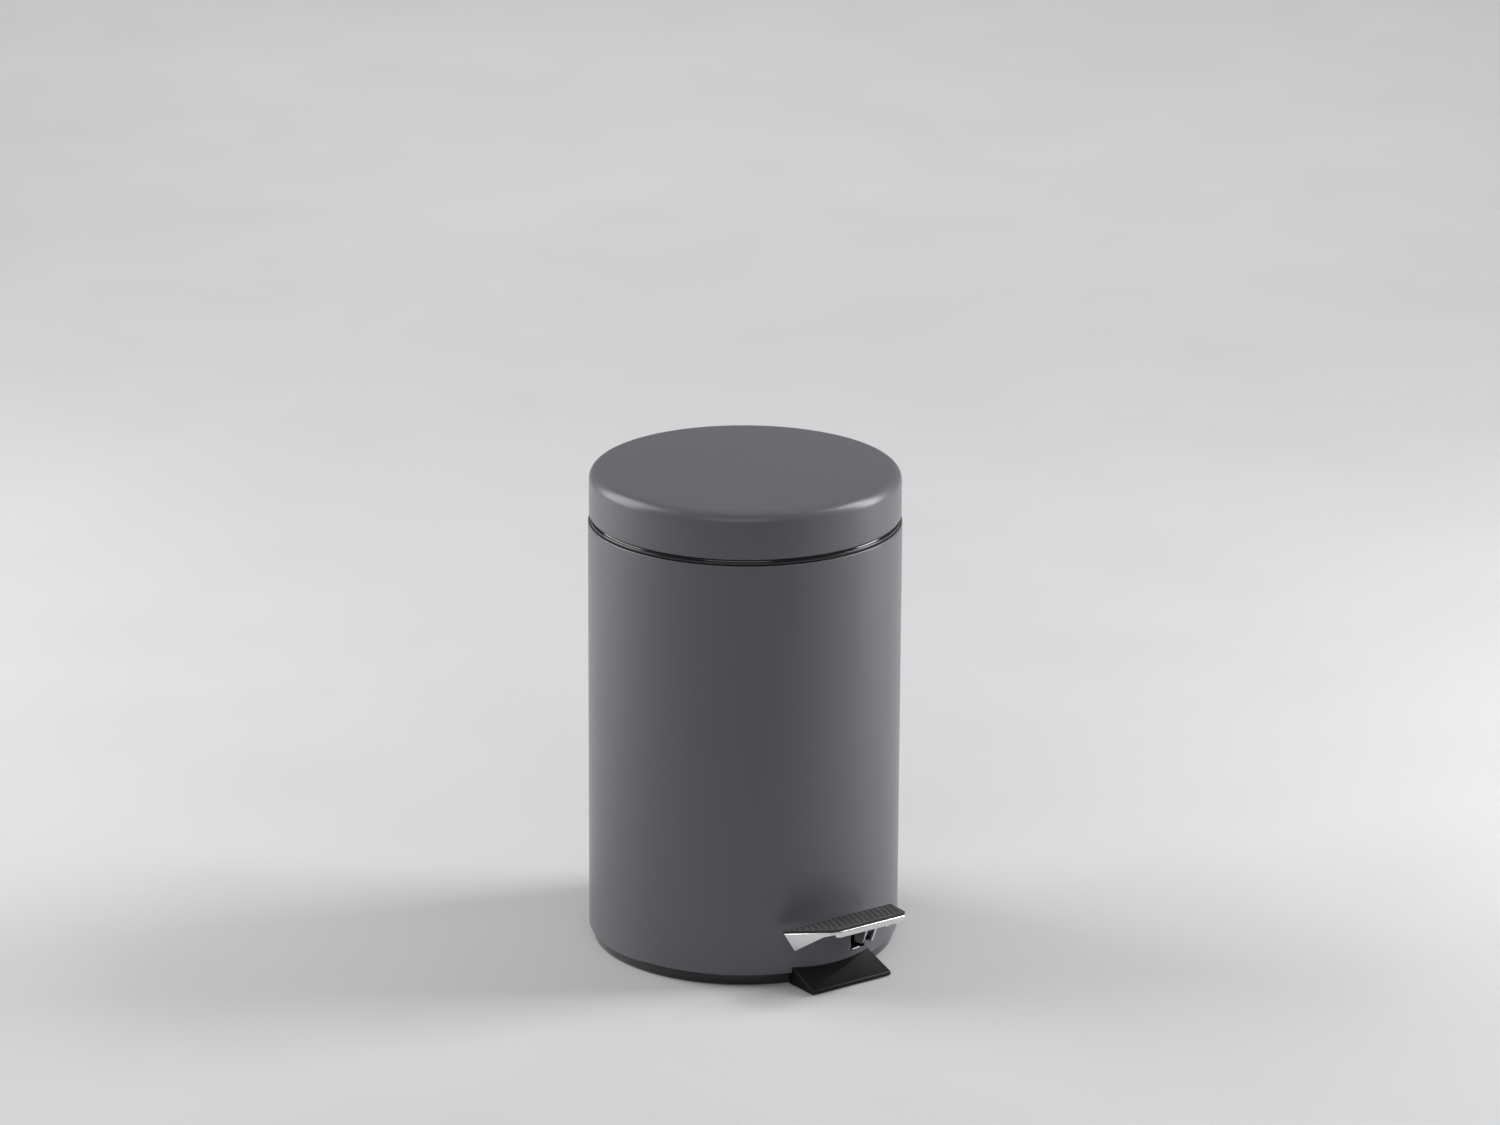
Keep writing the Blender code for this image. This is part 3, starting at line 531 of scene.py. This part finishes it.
def build_base():
    """Base ring and front foot in one moulding: glossy round the bin, matt on the foot."""
    plate = BASE_LOW + 2.0 * MM
    shoulder = BODY_LOW - 0.3 * MM
    spigot_out, spigot_in = BODY_R - 1.2 * MM, BODY_R - 3.6 * MM
    profile = [(0, plate), (spigot_in - 1.0 * MM, plate), (spigot_in, plate + 1.0 * MM)]
    profile += [(spigot_in, BASE_TOP - 0.4 * MM), (spigot_in + 0.4 * MM, BASE_TOP)]
    profile += [(spigot_out - 0.4 * MM, BASE_TOP), (spigot_out, BASE_TOP - 0.4 * MM)]
    profile += [(spigot_out, shoulder)]
    profile += arc((BASE_R - 0.3 * MM, shoulder - 0.3 * MM), 0.3 * MM, 90, 10, 4)
    profile += [(BASE_R - 1.4 * MM, BASE_LOW + 1.0 * MM)]
    profile += arc((BASE_R - 2.3 * MM, BASE_LOW + 0.8 * MM), 0.8 * MM, -10, -90, 4)
    groove_out, groove_in = BODY_R - 5.6 * MM, BODY_R - 14.4 * MM
    profile += [(groove_out, BASE_LOW), (groove_out, BASE_LOW + 1.2 * MM)]
    profile += [(groove_in, BASE_LOW + 1.2 * MM), (groove_in, BASE_LOW), (0, BASE_LOW)]
    base = turned("base_moulding", profile, [GLOSS, MATT])

    foot_half, narrowing, narrow_over = 25.75 * MM, 0.45 * MM, 6 * MM
    rear, front = -78.0 * MM, FOOT_FRONT
    front_z, rise = 3.0 * MM, 5.7 / 16.7
    side = [(rear, BASE_LOW), (front + 0.6 * MM, BASE_LOW), (front, BASE_LOW + 0.8 * MM)]
    side += [(front, front_z - 0.5 * MM), (front + 0.5 * MM, front_z)]
    side += [(rear, front_z + (rear - front) * rise)]
    work = bmesh.new()
    walls = []
    for sign in (-1, 1):
        wall = []
        for y, z in side:
            x = sign * (foot_half - narrowing * (z - BASE_LOW) / narrow_over)
            wall.append(work.verts.new((x, y, z)))
        walls.append(wall)
        work.faces.new(wall)
    for index in range(len(side)):
        after = (index + 1) % len(side)
        work.faces.new((walls[0][index], walls[0][after], walls[1][after], walls[1][index]))
    foot = new_object("foot", work, [MATT])
    bevelled(foot, 0.55 * MM, 3, 20)
    room_r, room_low, room_top = BODY_R + 0.3 * MM, shoulder - 0.2 * MM, 40 * MM
    room_profile = [(0, room_top), (room_r, room_top), (room_r, room_low), (0, room_low)]
    room = turned("room", room_profile, [MATT])
    boolean(foot, room, "DIFFERENCE")
    boolean(base, foot, "UNION")
    left, right, near, far = 5 * MM, 30 * MM, 60 * MM, 90 * MM
    corners = [(left, near), (right, near), (right, far), (left, far)]
    rear_room = prism("rear_room", corners, shoulder + 0.25 * MM, BASE_TOP + 2 * MM, [GLOSS])
    boolean(base, rear_room, "DIFFERENCE")
    base.data.materials.clear()
    base.data.materials.append(GLOSS)
    base.data.materials.append(FOOT)
    for face in base.data.polygons:
        reach = max(base.data.vertices[i].co.xy.length for i in face.vertices)
        face.material_index = 1 if reach > BODY_R + 1.0 * MM else 0
    smooth(base, 30)
    return finish_piece(base, "bin", ["base_ring"])


def build_anti_slip_ring():
    low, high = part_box("anti_slip_ring")[0].z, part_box("anti_slip_ring")[1].z
    outer = size_of("anti_slip_ring").x / 2
    inner = outer - 8.2 * MM
    profile = [(outer, high), (outer, low + 0.4 * MM)]
    ribs = 4
    pitch = (outer - inner) / ribs
    for rib in range(ribs):
        edge = outer - rib * pitch
        profile += [(edge - 0.25 * MM, low), (edge - pitch * 0.55, low)]
        profile += [(edge - pitch * 0.65, low + 0.45 * MM), (edge - pitch * 0.9, low + 0.45 * MM)]
    profile += [(inner, low + 0.4 * MM), (inner, high)]
    return finish_piece(turned("grip_ring", profile, [RUBBER], 128), "bin", ["anti_slip_ring"])


# ---------------------------------------------------------------- lid and hinge


def build_lid_shell():
    """Pressed lid: painted outside down to its curled hem, and bare steel inside."""
    corner_r = 6.0 * MM
    edge_z = LID_TOP - 2.0 * MM
    corner = (LID_R - corner_r, edge_z - corner_r)
    hem = 1.4 * MM
    flat, rise = corner[0], LID_TOP - edge_z
    profile = [(0, LID_TOP)]
    for step in range(1, 12):
        r = flat * step / 12
        profile.append((r, edge_z + rise * (1 - (r / flat) ** 2)))
    profile += arc(corner, corner_r, 90, 0, 14)
    profile += [(LID_R, LID_LOW + hem + (edge_z - corner_r - LID_LOW - hem) * 0.4)]
    profile += arc((LID_R - hem, LID_LOW + hem), hem, 0, -180, 12)
    profile += [(LID_R - 2 * hem, LID_LOW + 2.3 * MM), (LID_R - 2.4 * MM, LID_LOW + 2.9 * MM)]
    painted = len(profile) - 1
    inner = LID_R - SHEET
    profile += [(inner, LID_LOW + 3.0 * MM), (inner, edge_z - corner_r)]
    profile += arc(corner, corner_r - SHEET, 0, 62, 9)
    bead = (corner[0] - 0.6 * MM, edge_z - SHEET)
    profile += [(bead[0] + 2.0 * MM, bead[1] - 0.25 * MM), (bead[0] + 1.4 * MM, bead[1] - 0.75 * MM)]
    profile += [(bead[0] + 0.7 * MM, bead[1] - 0.85 * MM), (bead[0], bead[1] - 0.6 * MM)]
    profile += [(bead[0] - 0.7 * MM, bead[1] + 0.02 * MM)]
    for step in range(11, 0, -1):
        r = (flat - 1.4 * MM) * step / 12
        profile.append((r, edge_z - SHEET + rise * (1 - (r / flat) ** 2)))
    profile += [(0, LID_TOP - SHEET)]
    lid = turned("lid_pressing", profile, [PAINT, INNER_STEEL], inside=range(painted, len(profile)))
    half, near, far = 13.5 * MM, 60 * MM, 95 * MM
    notch_top = 243.2 * MM
    corners = [(-half, near), (half, near), (half, far), (-half, far)]
    notch = prism("arm_notch", corners, LID_LOW - 8 * MM, notch_top, [PAINT])
    bevelled(notch, 0.8 * MM, 3, 60)
    boolean(lid, notch, "DIFFERENCE")
    smooth(lid, 32)
    return finish_piece(lid, "lid", ["lid_shell"])


def build_hinge():
    refined("hinge_block", "hinge_housing", 0.45 * MM, MATT, "bin", 3)
    refined("lid_bracket", "hinge_arm", 0.35 * MM, MATT, "lid", 3)

    low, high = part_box("hinge_pin")
    length = high.x - low.x
    pin_r, head_r, head = 2.0 * MM, 3.2 * MM, 1.7 * MM
    profile = [(0, length), (pin_r - 0.5 * MM, length), (pin_r, length - 0.5 * MM), (pin_r, head)]
    profile += [(head_r - 0.2 * MM, head), (head_r, head - 0.2 * MM), (head_r, 0.7 * MM)]
    profile += arc((head_r - 0.7 * MM, 0.7 * MM), 0.7 * MM, 0, -90, 5)[1:] + [(0, 0)]
    pin = turned("hinge_spindle", profile, [PLAIN], SMALL)
    middle = centre_of("hinge_pin")
    turned_along(pin, (low.x, middle.y, middle.z), (1, 0, 0))
    finish_piece(pin, "bin", ["hinge_pin"], moved=False)


def build_fastener(node, body, start, direction, shank_r, shank, head_r, head, domed):
    """A rivet or screw whose head starts at start, with its shank behind it."""
    profile = [(0, -shank), (shank_r - 0.2 * MM, -shank), (shank_r, 0.2 * MM - shank), (shank_r, 0)]
    profile = profile[::-1]
    if domed:
        top = [(head_r, 0)]
        for step in range(1, 7):
            turn = math.radians(15 * step)
            top.append((head_r * math.cos(turn) if step < 6 else 0, head * math.sin(turn)))
    else:
        top = [(head_r, 0), (head_r, head * 0.5), (head_r - 0.3 * MM, head)]
        top += [(head_r * 0.42, head), (head_r * 0.42, head * 0.35), (0, head * 0.35)]
    obj = turned(f"{node}_detail", top[::-1] + profile, [PLAIN], SMALL)
    turned_along(obj, start, direction)
    return finish_piece(obj, body, [node], moved=False)


def build_fasteners():
    for node in ("hinge_screw_left", "hinge_screw_right"):
        low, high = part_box(node)
        middle = (low + high) / 2
        head = 1.8 * MM
        start = (middle.x, low.y + head, middle.z)
        build_fastener(node, "bin", start, (0, -1, 0), 1.5 * MM, 7 * MM, 3 * MM, head, False)
    for node in ("clip_rivet_lower", "clip_rivet_upper"):
        cylinder = centre_of("damper_cylinder") - AXIS
        out = Vector((cylinder.x, cylinder.y, 0)).normalized()
        start = AXIS + out * (BODY_R + 0.32 * MM) + Vector((0, 0, centre_of(node).z))
        build_fastener(node, "bin", start, out, 1.4 * MM, 4.7 * MM, 3 * MM, 1.25 * MM, True)
    for node in ("bracket_rivet_left", "bracket_rivet_right"):
        low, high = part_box(node)
        head = 1.2 * MM
        start = ((low.x + high.x) / 2, (low.y + high.y) / 2, high.z - head)
        build_fastener(node, "bin", start, (0, 0, 1), 1.5 * MM, 3.7 * MM, 2.8 * MM, head, True)
    for node in ("pedal_rivet_rear", "pedal_rivet_front"):
        low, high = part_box(node)
        head = 1.2 * MM
        start = ((low.x + high.x) / 2, (low.y + high.y) / 2, low.z + head)
        build_fastener(node, "pedal", start, (0, 0, -1), 1.4 * MM, 3.9 * MM, 2 * MM, head, True)


# ---------------------------------------------------------------- pedal

PLATE_REAR, PLATE_SHEET = -87.0 * MM, 1.2 * MM
PLATE_FRONT_HALF = 22.4 * MM
PLATE_REAR_Z, PLATE_FRONT_Z = 33.5 * MM, 41.2 * MM
WALL_WAIST = 0.73  # share of the way forward where the side walls have narrowed to a lip


def plate_z(y):
    """Height of the pedal plate's top face at y."""
    share = (y - PLATE_REAR) / (PLATE_FRONT - PLATE_REAR)
    return PLATE_REAR_Z + (PLATE_FRONT_Z - PLATE_REAR_Z) * share


def plate_side(radius, steps=8):
    """The plate's outline at the right: rear corner, waist and rounded front corner."""
    rear = Vector((PLATE_REAR_HALF, PLATE_REAR))
    front = Vector((PLATE_FRONT_HALF, PLATE_FRONT))
    outline = rounded(radius, steps, tuple(rear), tuple(front), (0, front.y), (0, rear.y))
    waist = rear.lerp(front, WALL_WAIST)
    return [tuple(rear), tuple(waist)] + outline[steps + 1 : 2 * (steps + 1)]


def build_pedal_plate():
    """Bent sheet: a sloping top with a front lip and two side walls that taper forward."""
    right = plate_side(3.2 * MM)
    outline = [Vector(point) for point in right + [(-x, y) for x, y in reversed(right)]]
    count, half = len(outline), len(right)
    fold, folds = 0.8 * MM, 5
    lip, rear_depth, rear_step, rear_narrowing = 3.3 * MM, 8.6 * MM, 6.0 * MM, 0.93
    lip_share, notch_share = 0.78, 0.45  # depth beside the front corner and in its notch
    work = bmesh.new()
    outer, inner = [], []
    for index, point in enumerate(outline):
        along = outline[min(index + 1, count - 1)] - outline[max(index - 1, 0)]
        out = Vector((-along.y, along.x)).normalized()
        near = min(index, count - 1 - index)
        depth = lip * (lip_share + (1 - lip_share) * (near - 1) / (half - 2))
        if near == 0:
            depth = rear_depth
        elif near in (2, 3):
            depth = notch_share * lip
        low = Vector((rear_narrowing * point.x, point.y - rear_step)) if near == 0 else point
        top = plate_z(point.y)
        section = []
        for step in range(folds + 1):
            turn = math.radians(90) * step / folds
            place = point - out * fold * (1 - math.sin(turn))
            section.append(work.verts.new((*place, top - fold * (1 - math.cos(turn)))))
        section.append(work.verts.new((*low, top - depth)))
        outer.append(section)
        corner = work.verts.new((*(point - out * PLATE_SHEET), top - PLATE_SHEET))
        inner.append([corner, work.verts.new((*(low - out * PLATE_SHEET), top - depth))])
    for index in range(count - 1):
        a, b = outer[index], outer[index + 1]
        c, d = inner[index], inner[index + 1]
        for step in range(folds + 1):
            work.faces.new((a[step], a[step + 1], b[step + 1], b[step]))
        work.faces.new((c[0], d[0], d[1], c[1]))
        work.faces.new((a[-1], c[1], d[1], b[-1]))
    work.faces.new([section[0] for section in outer])
    work.faces.new([pair[0] for pair in reversed(inner)])
    work.faces.new((outer[0][0], outer[-1][0], inner[-1][0], inner[0][0]))
    for end in (0, -1):
        work.faces.new(outer[end] + inner[end][::-1])
    bmesh.ops.recalc_face_normals(work, faces=work.faces)
    plate = new_object("pedal_sheet", work, [BRIGHT])
    bevelled(plate, 0.15 * MM, 2, 50)
    smooth(plate, 35)
    return finish_piece(plate, "pedal", ["pedal_plate"])


def build_pedal_tread():
    """Rubber pad with staggered rows of small oblong pips, slightly crowned."""
    overhang, thick = 0.25 * MM, 1.2 * MM
    rear_y, front_y = PLATE_REAR + 3 * overhang, PLATE_FRONT + 0.7 * MM
    corner = 3.0 * MM
    across, along = 180, 84
    pip_x, pip_y, pip_h = 3.4 * MM, 3.4 * MM, 0.3 * MM

    def half_width(y):
        share = (y - PLATE_REAR) / (PLATE_FRONT - PLATE_REAR)
        half = PLATE_REAR_HALF + (PLATE_FRONT_HALF - PLATE_REAR_HALF) * share + overhang
        near = y - front_y
        if near < corner:
            half -= 0.75 * (corner - math.sqrt(max(corner**2 - (corner - near) ** 2, 0)))
        return half

    def relief(x, y, half):
        row = round((y - rear_y) / pip_y)
        shift = 0.5 * pip_x * (row % 2)
        dx = x - shift - round((x - shift) / pip_x) * pip_x
        dy = y - rear_y - row * pip_y
        inside = min(half - abs(x), rear_y - y, y - front_y)
        if inside < 1.5 * MM:
            return 0.0
        reach = math.hypot(dx / (1.05 * MM), dy / (0.95 * MM))
        share = min(max((1.1 - reach) / 0.4, 0.0), 1.0)
        return pip_h * share * share * (3 - 2 * share)

    def crown(x, y, half):
        share = min(max((y - rear_y) / (front_y - rear_y), 0), 1)
        return 0.9 * MM * (1 - (x / half) ** 2) * math.sin(math.pi * share) ** 0.5

    work = bmesh.new()
    top = []
    for j in range(along + 1):
        y = rear_y + (front_y - rear_y) * j / along
        half = half_width(y)
        row = []
        for i in range(across + 1):
            x = half * (2 * i / across - 1)
            z = plate_z(y) + 0.3 * MM + thick + crown(x, y, half) + relief(x, y, half)
            row.append(work.verts.new((x, y, z)))
        top.append(row)
    for near, far in zip(top, top[1:]):
        for i in range(across):
            face = work.faces.new((near[i], near[i + 1], far[i + 1], far[i]))
            middle = face.calc_center_median()
            raised = relief(middle.x, middle.y, half_width(middle.y))
            # Raised pips take the darker rubber and the pad between them the lighter copy.
            face.material_index = 0 if raised > 0.2 * pip_h else 1
    border = top[0][:-1] + [row[-1] for row in top[:-1]]
    border += top[-1][:0:-1] + [row[0] for row in top[:0:-1]]
    lower = []
    for vertex in border:
        place = vertex.co.copy()
        place.z = plate_z(place.y) + 0.3 * MM
        lower.append(work.verts.new(place))
    for index in range(len(border)):
        after = (index + 1) % len(border)
        work.faces.new((border[index], border[after], lower[after], lower[index]))
    work.faces.new(lower)
    pad = new_object("pedal_pad", work, [RUBBER, PAD_RUBBER_LIGHTER], 50)
    return finish_piece(pad, "pedal", ["pedal_tread"])


def build_lever():
    refined("pedal_lever", "lever_channel", 0.25 * MM, BRIGHT, "pedal", 2)
    refined("pivot_bracket", "lever_bracket", 0.2 * MM, PLAIN, "bin", 2)
    low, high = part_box("pivot_pin")
    middle = (low + high) / 2
    profile = [(0, high.x - low.x), (1.6 * MM, high.x - low.x), (2 * MM, high.x - low.x - 0.4 * MM)]
    profile += [(2 * MM, 1.5 * MM), (3.2 * MM, 1.5 * MM), (3.2 * MM, 0.4 * MM), (2.8 * MM, 0), (0, 0)]
    pin = turned("lever_spindle", profile, [PLAIN], SMALL)
    turned_along(pin, (low.x, middle.y, middle.z), (1, 0, 0))
    finish_piece(pin, "bin", ["pivot_pin"], moved=False)


# ---------------------------------------------------------------- linkage and damper


def bent_wire(name, node, body, corners, radius, bend, material):
    """A wire through straight runs and round bends, standing for a CAD node."""
    path = [Vector(corners[0])]
    for before, corner, after in zip(corners, corners[1:], corners[2:]):
        here = Vector(corner)
        start = here + (Vector(before) - here).normalized() * bend
        end = here + (Vector(after) - here).normalized() * bend
        middle = start + end - here
        for step in range(13):
            turn = math.radians(90) * step / 12
            path.append(middle + (start - middle) * math.cos(turn) + (end - middle) * math.sin(turn))
    path.append(Vector(corners[-1]))
    wire = sweep(name, path, [radius] * len(path), [material])
    return finish_piece(wire, body, [node], moved=False)


def build_linkage():
    low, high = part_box("push_rod")
    r = 1.5 * MM
    x, y = low.x + r, (low.y + high.y) / 2
    corners = [(high.x, y, high.z - r), (x, y, high.z - r), (x, y, low.z + r), (high.x, y, low.z + r)]
    bent_wire("push_wire", "push_rod", "push_rod", corners, r, 2.4 * MM, PLAIN)
    for node in ("push_nut_top", "push_nut_bottom", "damper_nut", "damper_rod"):
        dress(node, PLAIN)
    dress("damper_cylinder", MATT)
    for level in ("lower", "upper"):
        refined(f"damper_clip_{level}", f"damper_saddle_{level}", 0.3 * MM, MATT, "bin")
    dress("floor_plate", INNER_STEEL)


# ---------------------------------------------------------------- inner bucket


def build_bucket():
    """Lift-out bucket: drafted wall, stepped foot, rolled rim with a hanging lip."""
    low, rim = BUCKET_LOW, BUCKET_TOP
    wall = 1.5 * MM
    top_r = BUCKET_R - 1.6 * MM
    profile = [(0, low + 2.0 * MM), (52 * MM, low + 2.0 * MM), (57 * MM, low + 2.2 * MM)]
    profile += arc((57.4 * MM, low + 6.4 * MM), 4.3 * MM, -80, -4, 8)
    profile += [(top_r - wall - 2.4 * MM, rim - 54 * MM), (top_r - wall - 1.6 * MM, rim - 53 * MM)]
    profile += [(top_r - wall, rim - 2.0 * MM)]
    profile += arc((top_r + 0.6 * MM, rim - 1.0 * MM), 1.0 * MM, 180, 90, 5)
    profile += arc((BUCKET_R - 0.8 * MM, rim - 0.8 * MM), 0.8 * MM, 90, 0, 5)
    profile += [(BUCKET_R, rim - 2.8 * MM), (BUCKET_R - 0.3 * MM, rim - 3.0 * MM)]
    profile += [(BUCKET_R - 1.1 * MM, rim - 3.0 * MM), (BUCKET_R - 1.2 * MM, rim - 2.2 * MM)]
    profile += [(top_r, rim - 2.2 * MM), (top_r - 1.5 * MM, rim - 52.0 * MM)]
    profile += [(top_r - 2.4 * MM, rim - 53.0 * MM), (63.3 * MM, low + 6.0 * MM)]
    profile += arc((60.4 * MM, low + 3.0 * MM), 3.0 * MM, 5, -90, 7)
    profile += [(54 * MM, low), (53 * MM, low + 0.8 * MM), (0, low + 0.8 * MM)]
    bucket = turned("bucket_moulding", profile, [BUCKET], 192)
    bucket.data.transform(Matrix.Translation((0, BUCKET_Y, 0)))
    bail_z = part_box("bucket_handle")[0].z + 1.5 * MM
    for side in (-1, 1):
        hole = turned("bail_hole", [(0, 20 * MM), (1.9 * MM, 20 * MM), (1.9 * MM, 0), (0, 0)], [BUCKET], 32)
        turned_along(hole, (side * 80 * MM, BUCKET_Y, bail_z), (-side, 0, 0))
        boolean(bucket, hole, "DIFFERENCE")
    smooth(bucket, 32)
    return finish_piece(bucket, "bin", ["inner_bucket"])


def build_handle():
    low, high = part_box("bucket_handle")
    wire_r, grip_r = 1.5 * MM, 3.4 * MM
    bail_z, lie = low.z + wire_r, high.z - wire_r
    reach = 75.0 * MM
    depth = BUCKET_Y - (low.y - AXIS.y + wire_r)

    def bow(angle):
        turn = math.radians(angle)
        return Vector((reach * math.cos(turn), BUCKET_Y - depth * math.sin(turn), lie))

    side = [(66.5 * MM, BUCKET_Y, bail_z), (73.0 * MM, BUCKET_Y, bail_z)]
    side += [(75.3 * MM, BUCKET_Y, bail_z + 0.4 * MM), (75.3 * MM, BUCKET_Y, bail_z + 5.5 * MM)]
    side += [(75.2 * MM, BUCKET_Y - 1.0 * MM, bail_z + 10.5 * MM)]
    points = side + [bow(angle) for angle in range(6, 175, 4)] + [(-x, y, z) for x, y, z in side[::-1]]
    path = smooth_path(points, 2)
    wire = sweep("bail_wire", path, [wire_r] * len(path), [PLAIN])
    finish_piece(wire, "bin", ["bucket_handle"])

    steps = 96
    path, radii = [], []
    for step in range(steps + 1):
        share = step / steps
        path.append(bow(72 + 36 * share))
        waves = 0.32 * MM * (0.5 + 0.5 * math.cos(2 * math.pi * 7 * share))
        end = min(share, 1 - share) * steps / 3
        round_end = math.sqrt(max(1 - (1 - min(end, 1)) ** 2, 0))
        radii.append(wire_r + (grip_r - wire_r - waves) * (0.35 + 0.65 * round_end))
    grip = sweep("bail_grip", path, radii, [BUCKET], 32)
    finish_piece(grip, "bin", ["handle_grip"])


build_body_shell()
build_rim_ring()
build_base()
build_anti_slip_ring()
build_lid_shell()
build_hinge()
build_fasteners()
build_pedal_plate()
build_pedal_tread()
build_lever()
build_linkage()
build_bucket()
build_handle()


# ---------------------------------------------------------------- studio

VIEW_TURN = math.radians(-35.5)  # the camera stands this far round from straight ahead
VIEW_DROP = math.radians(17.873)
VIEW_DISTANCE = 3.2426
VIEW_ROLL = math.radians(0.294)
VIEW_LENS = 145.34
AIM_RIGHT, AIM_HEIGHT = 2.7 * MM, 210.7 * MM


def view_axes():
    right = Vector((math.cos(VIEW_TURN), math.sin(VIEW_TURN), 0))
    ahead_level = Vector((-math.sin(VIEW_TURN), math.cos(VIEW_TURN), 0))
    ahead = ahead_level * math.cos(VIEW_DROP) - Vector((0, 0, math.sin(VIEW_DROP)))
    up = right.cross(ahead)
    return right, ahead, up, ahead_level


def build_camera():
    right, ahead, up, _ = view_axes()
    aim = AXIS + right * AIM_RIGHT + Vector((0, 0, AIM_HEIGHT))
    rolled = right * math.cos(VIEW_ROLL) + up * math.sin(VIEW_ROLL)
    upright = up * math.cos(VIEW_ROLL) - right * math.sin(VIEW_ROLL)
    data = bpy.data.cameras.new("camera")
    data.lens = VIEW_LENS
    data.sensor_width = 36.0
    camera = bpy.data.objects.new("camera", data)
    matrix = Matrix((rolled, upright, -ahead)).transposed().to_4x4()
    matrix.translation = aim - ahead * VIEW_DISTANCE
    camera.matrix_world = matrix
    bpy.context.scene.collection.objects.link(camera)
    bpy.context.scene.camera = camera


def soft_box(name, turn, height, distance, width, tall, power, behind=None):
    """An area light this many degrees round to the right of the camera.

    It faces the bin, or the floor this far behind the bin.
    """
    right, _, _, level = view_axes()
    angle = math.radians(turn)
    place = AXIS + (right * math.sin(angle) - level * math.cos(angle)) * distance
    place.z = height
    data = bpy.data.lights.new(name, "AREA")
    data.shape = "RECTANGLE"
    data.size, data.size_y = width, tall
    data.energy = power
    light = bpy.data.objects.new(name, data)
    light.location = place
    target = AXIS + Vector((0, 0, 0.16))
    if behind is not None:
        target = AXIS + level * behind
    light.rotation_euler = (target - place).to_track_quat("-Z", "Y").to_euler()
    bpy.context.scene.collection.objects.link(light)
    light.visible_camera = False


def build_floor():
    g = Graph("pale_floor", (0.49, 0.49, 0.495), 0.7)
    g.color(g.mix(g.spread(g.noise(1.6, 6.0), 0.0, 1.0), (0.48, 0.48, 0.485), (0.50, 0.50, 0.505)))
    g.roughness(g.spread(g.noise(9.0, 4.0), 0.6, 0.75))
    g.bump(g.noise(240.0, 3.0), 0.03 * MM)
    work = bmesh.new()
    bmesh.ops.create_circle(work, cap_ends=True, segments=128, radius=9.0)
    floor = new_object("studio_floor", work, [g.material])


def build_light():
    world = bpy.data.worlds.new("studio")
    bpy.context.scene.world = world
    world.use_nodes = True
    background = world.node_tree.nodes["Background"]
    background.inputs["Color"].default_value = (0.92, 0.93, 0.95, 1)
    background.inputs["Strength"].default_value = 0.25
    soft_box("left_box", turn=-103, height=0.75, distance=1.25, width=1.0, tall=1.3, power=24)
    soft_box("right_box", turn=101, height=0.75, distance=1.25, width=0.5, tall=1.3, power=27)
    soft_box("top_box", turn=150, height=2.3, distance=0.5, width=1.6, tall=1.6, power=3)
    soft_box("front_fill", turn=-5, height=1.9, distance=3.0, width=2.8, tall=2.0, power=31)
    soft_box("back_wash", turn=180, height=2.0, distance=1.6, width=4.0, tall=1.0, power=75, behind=4.5)


build_camera()
build_floor()
build_light()
bpy.context.scene.view_settings.view_transform = "Standard"
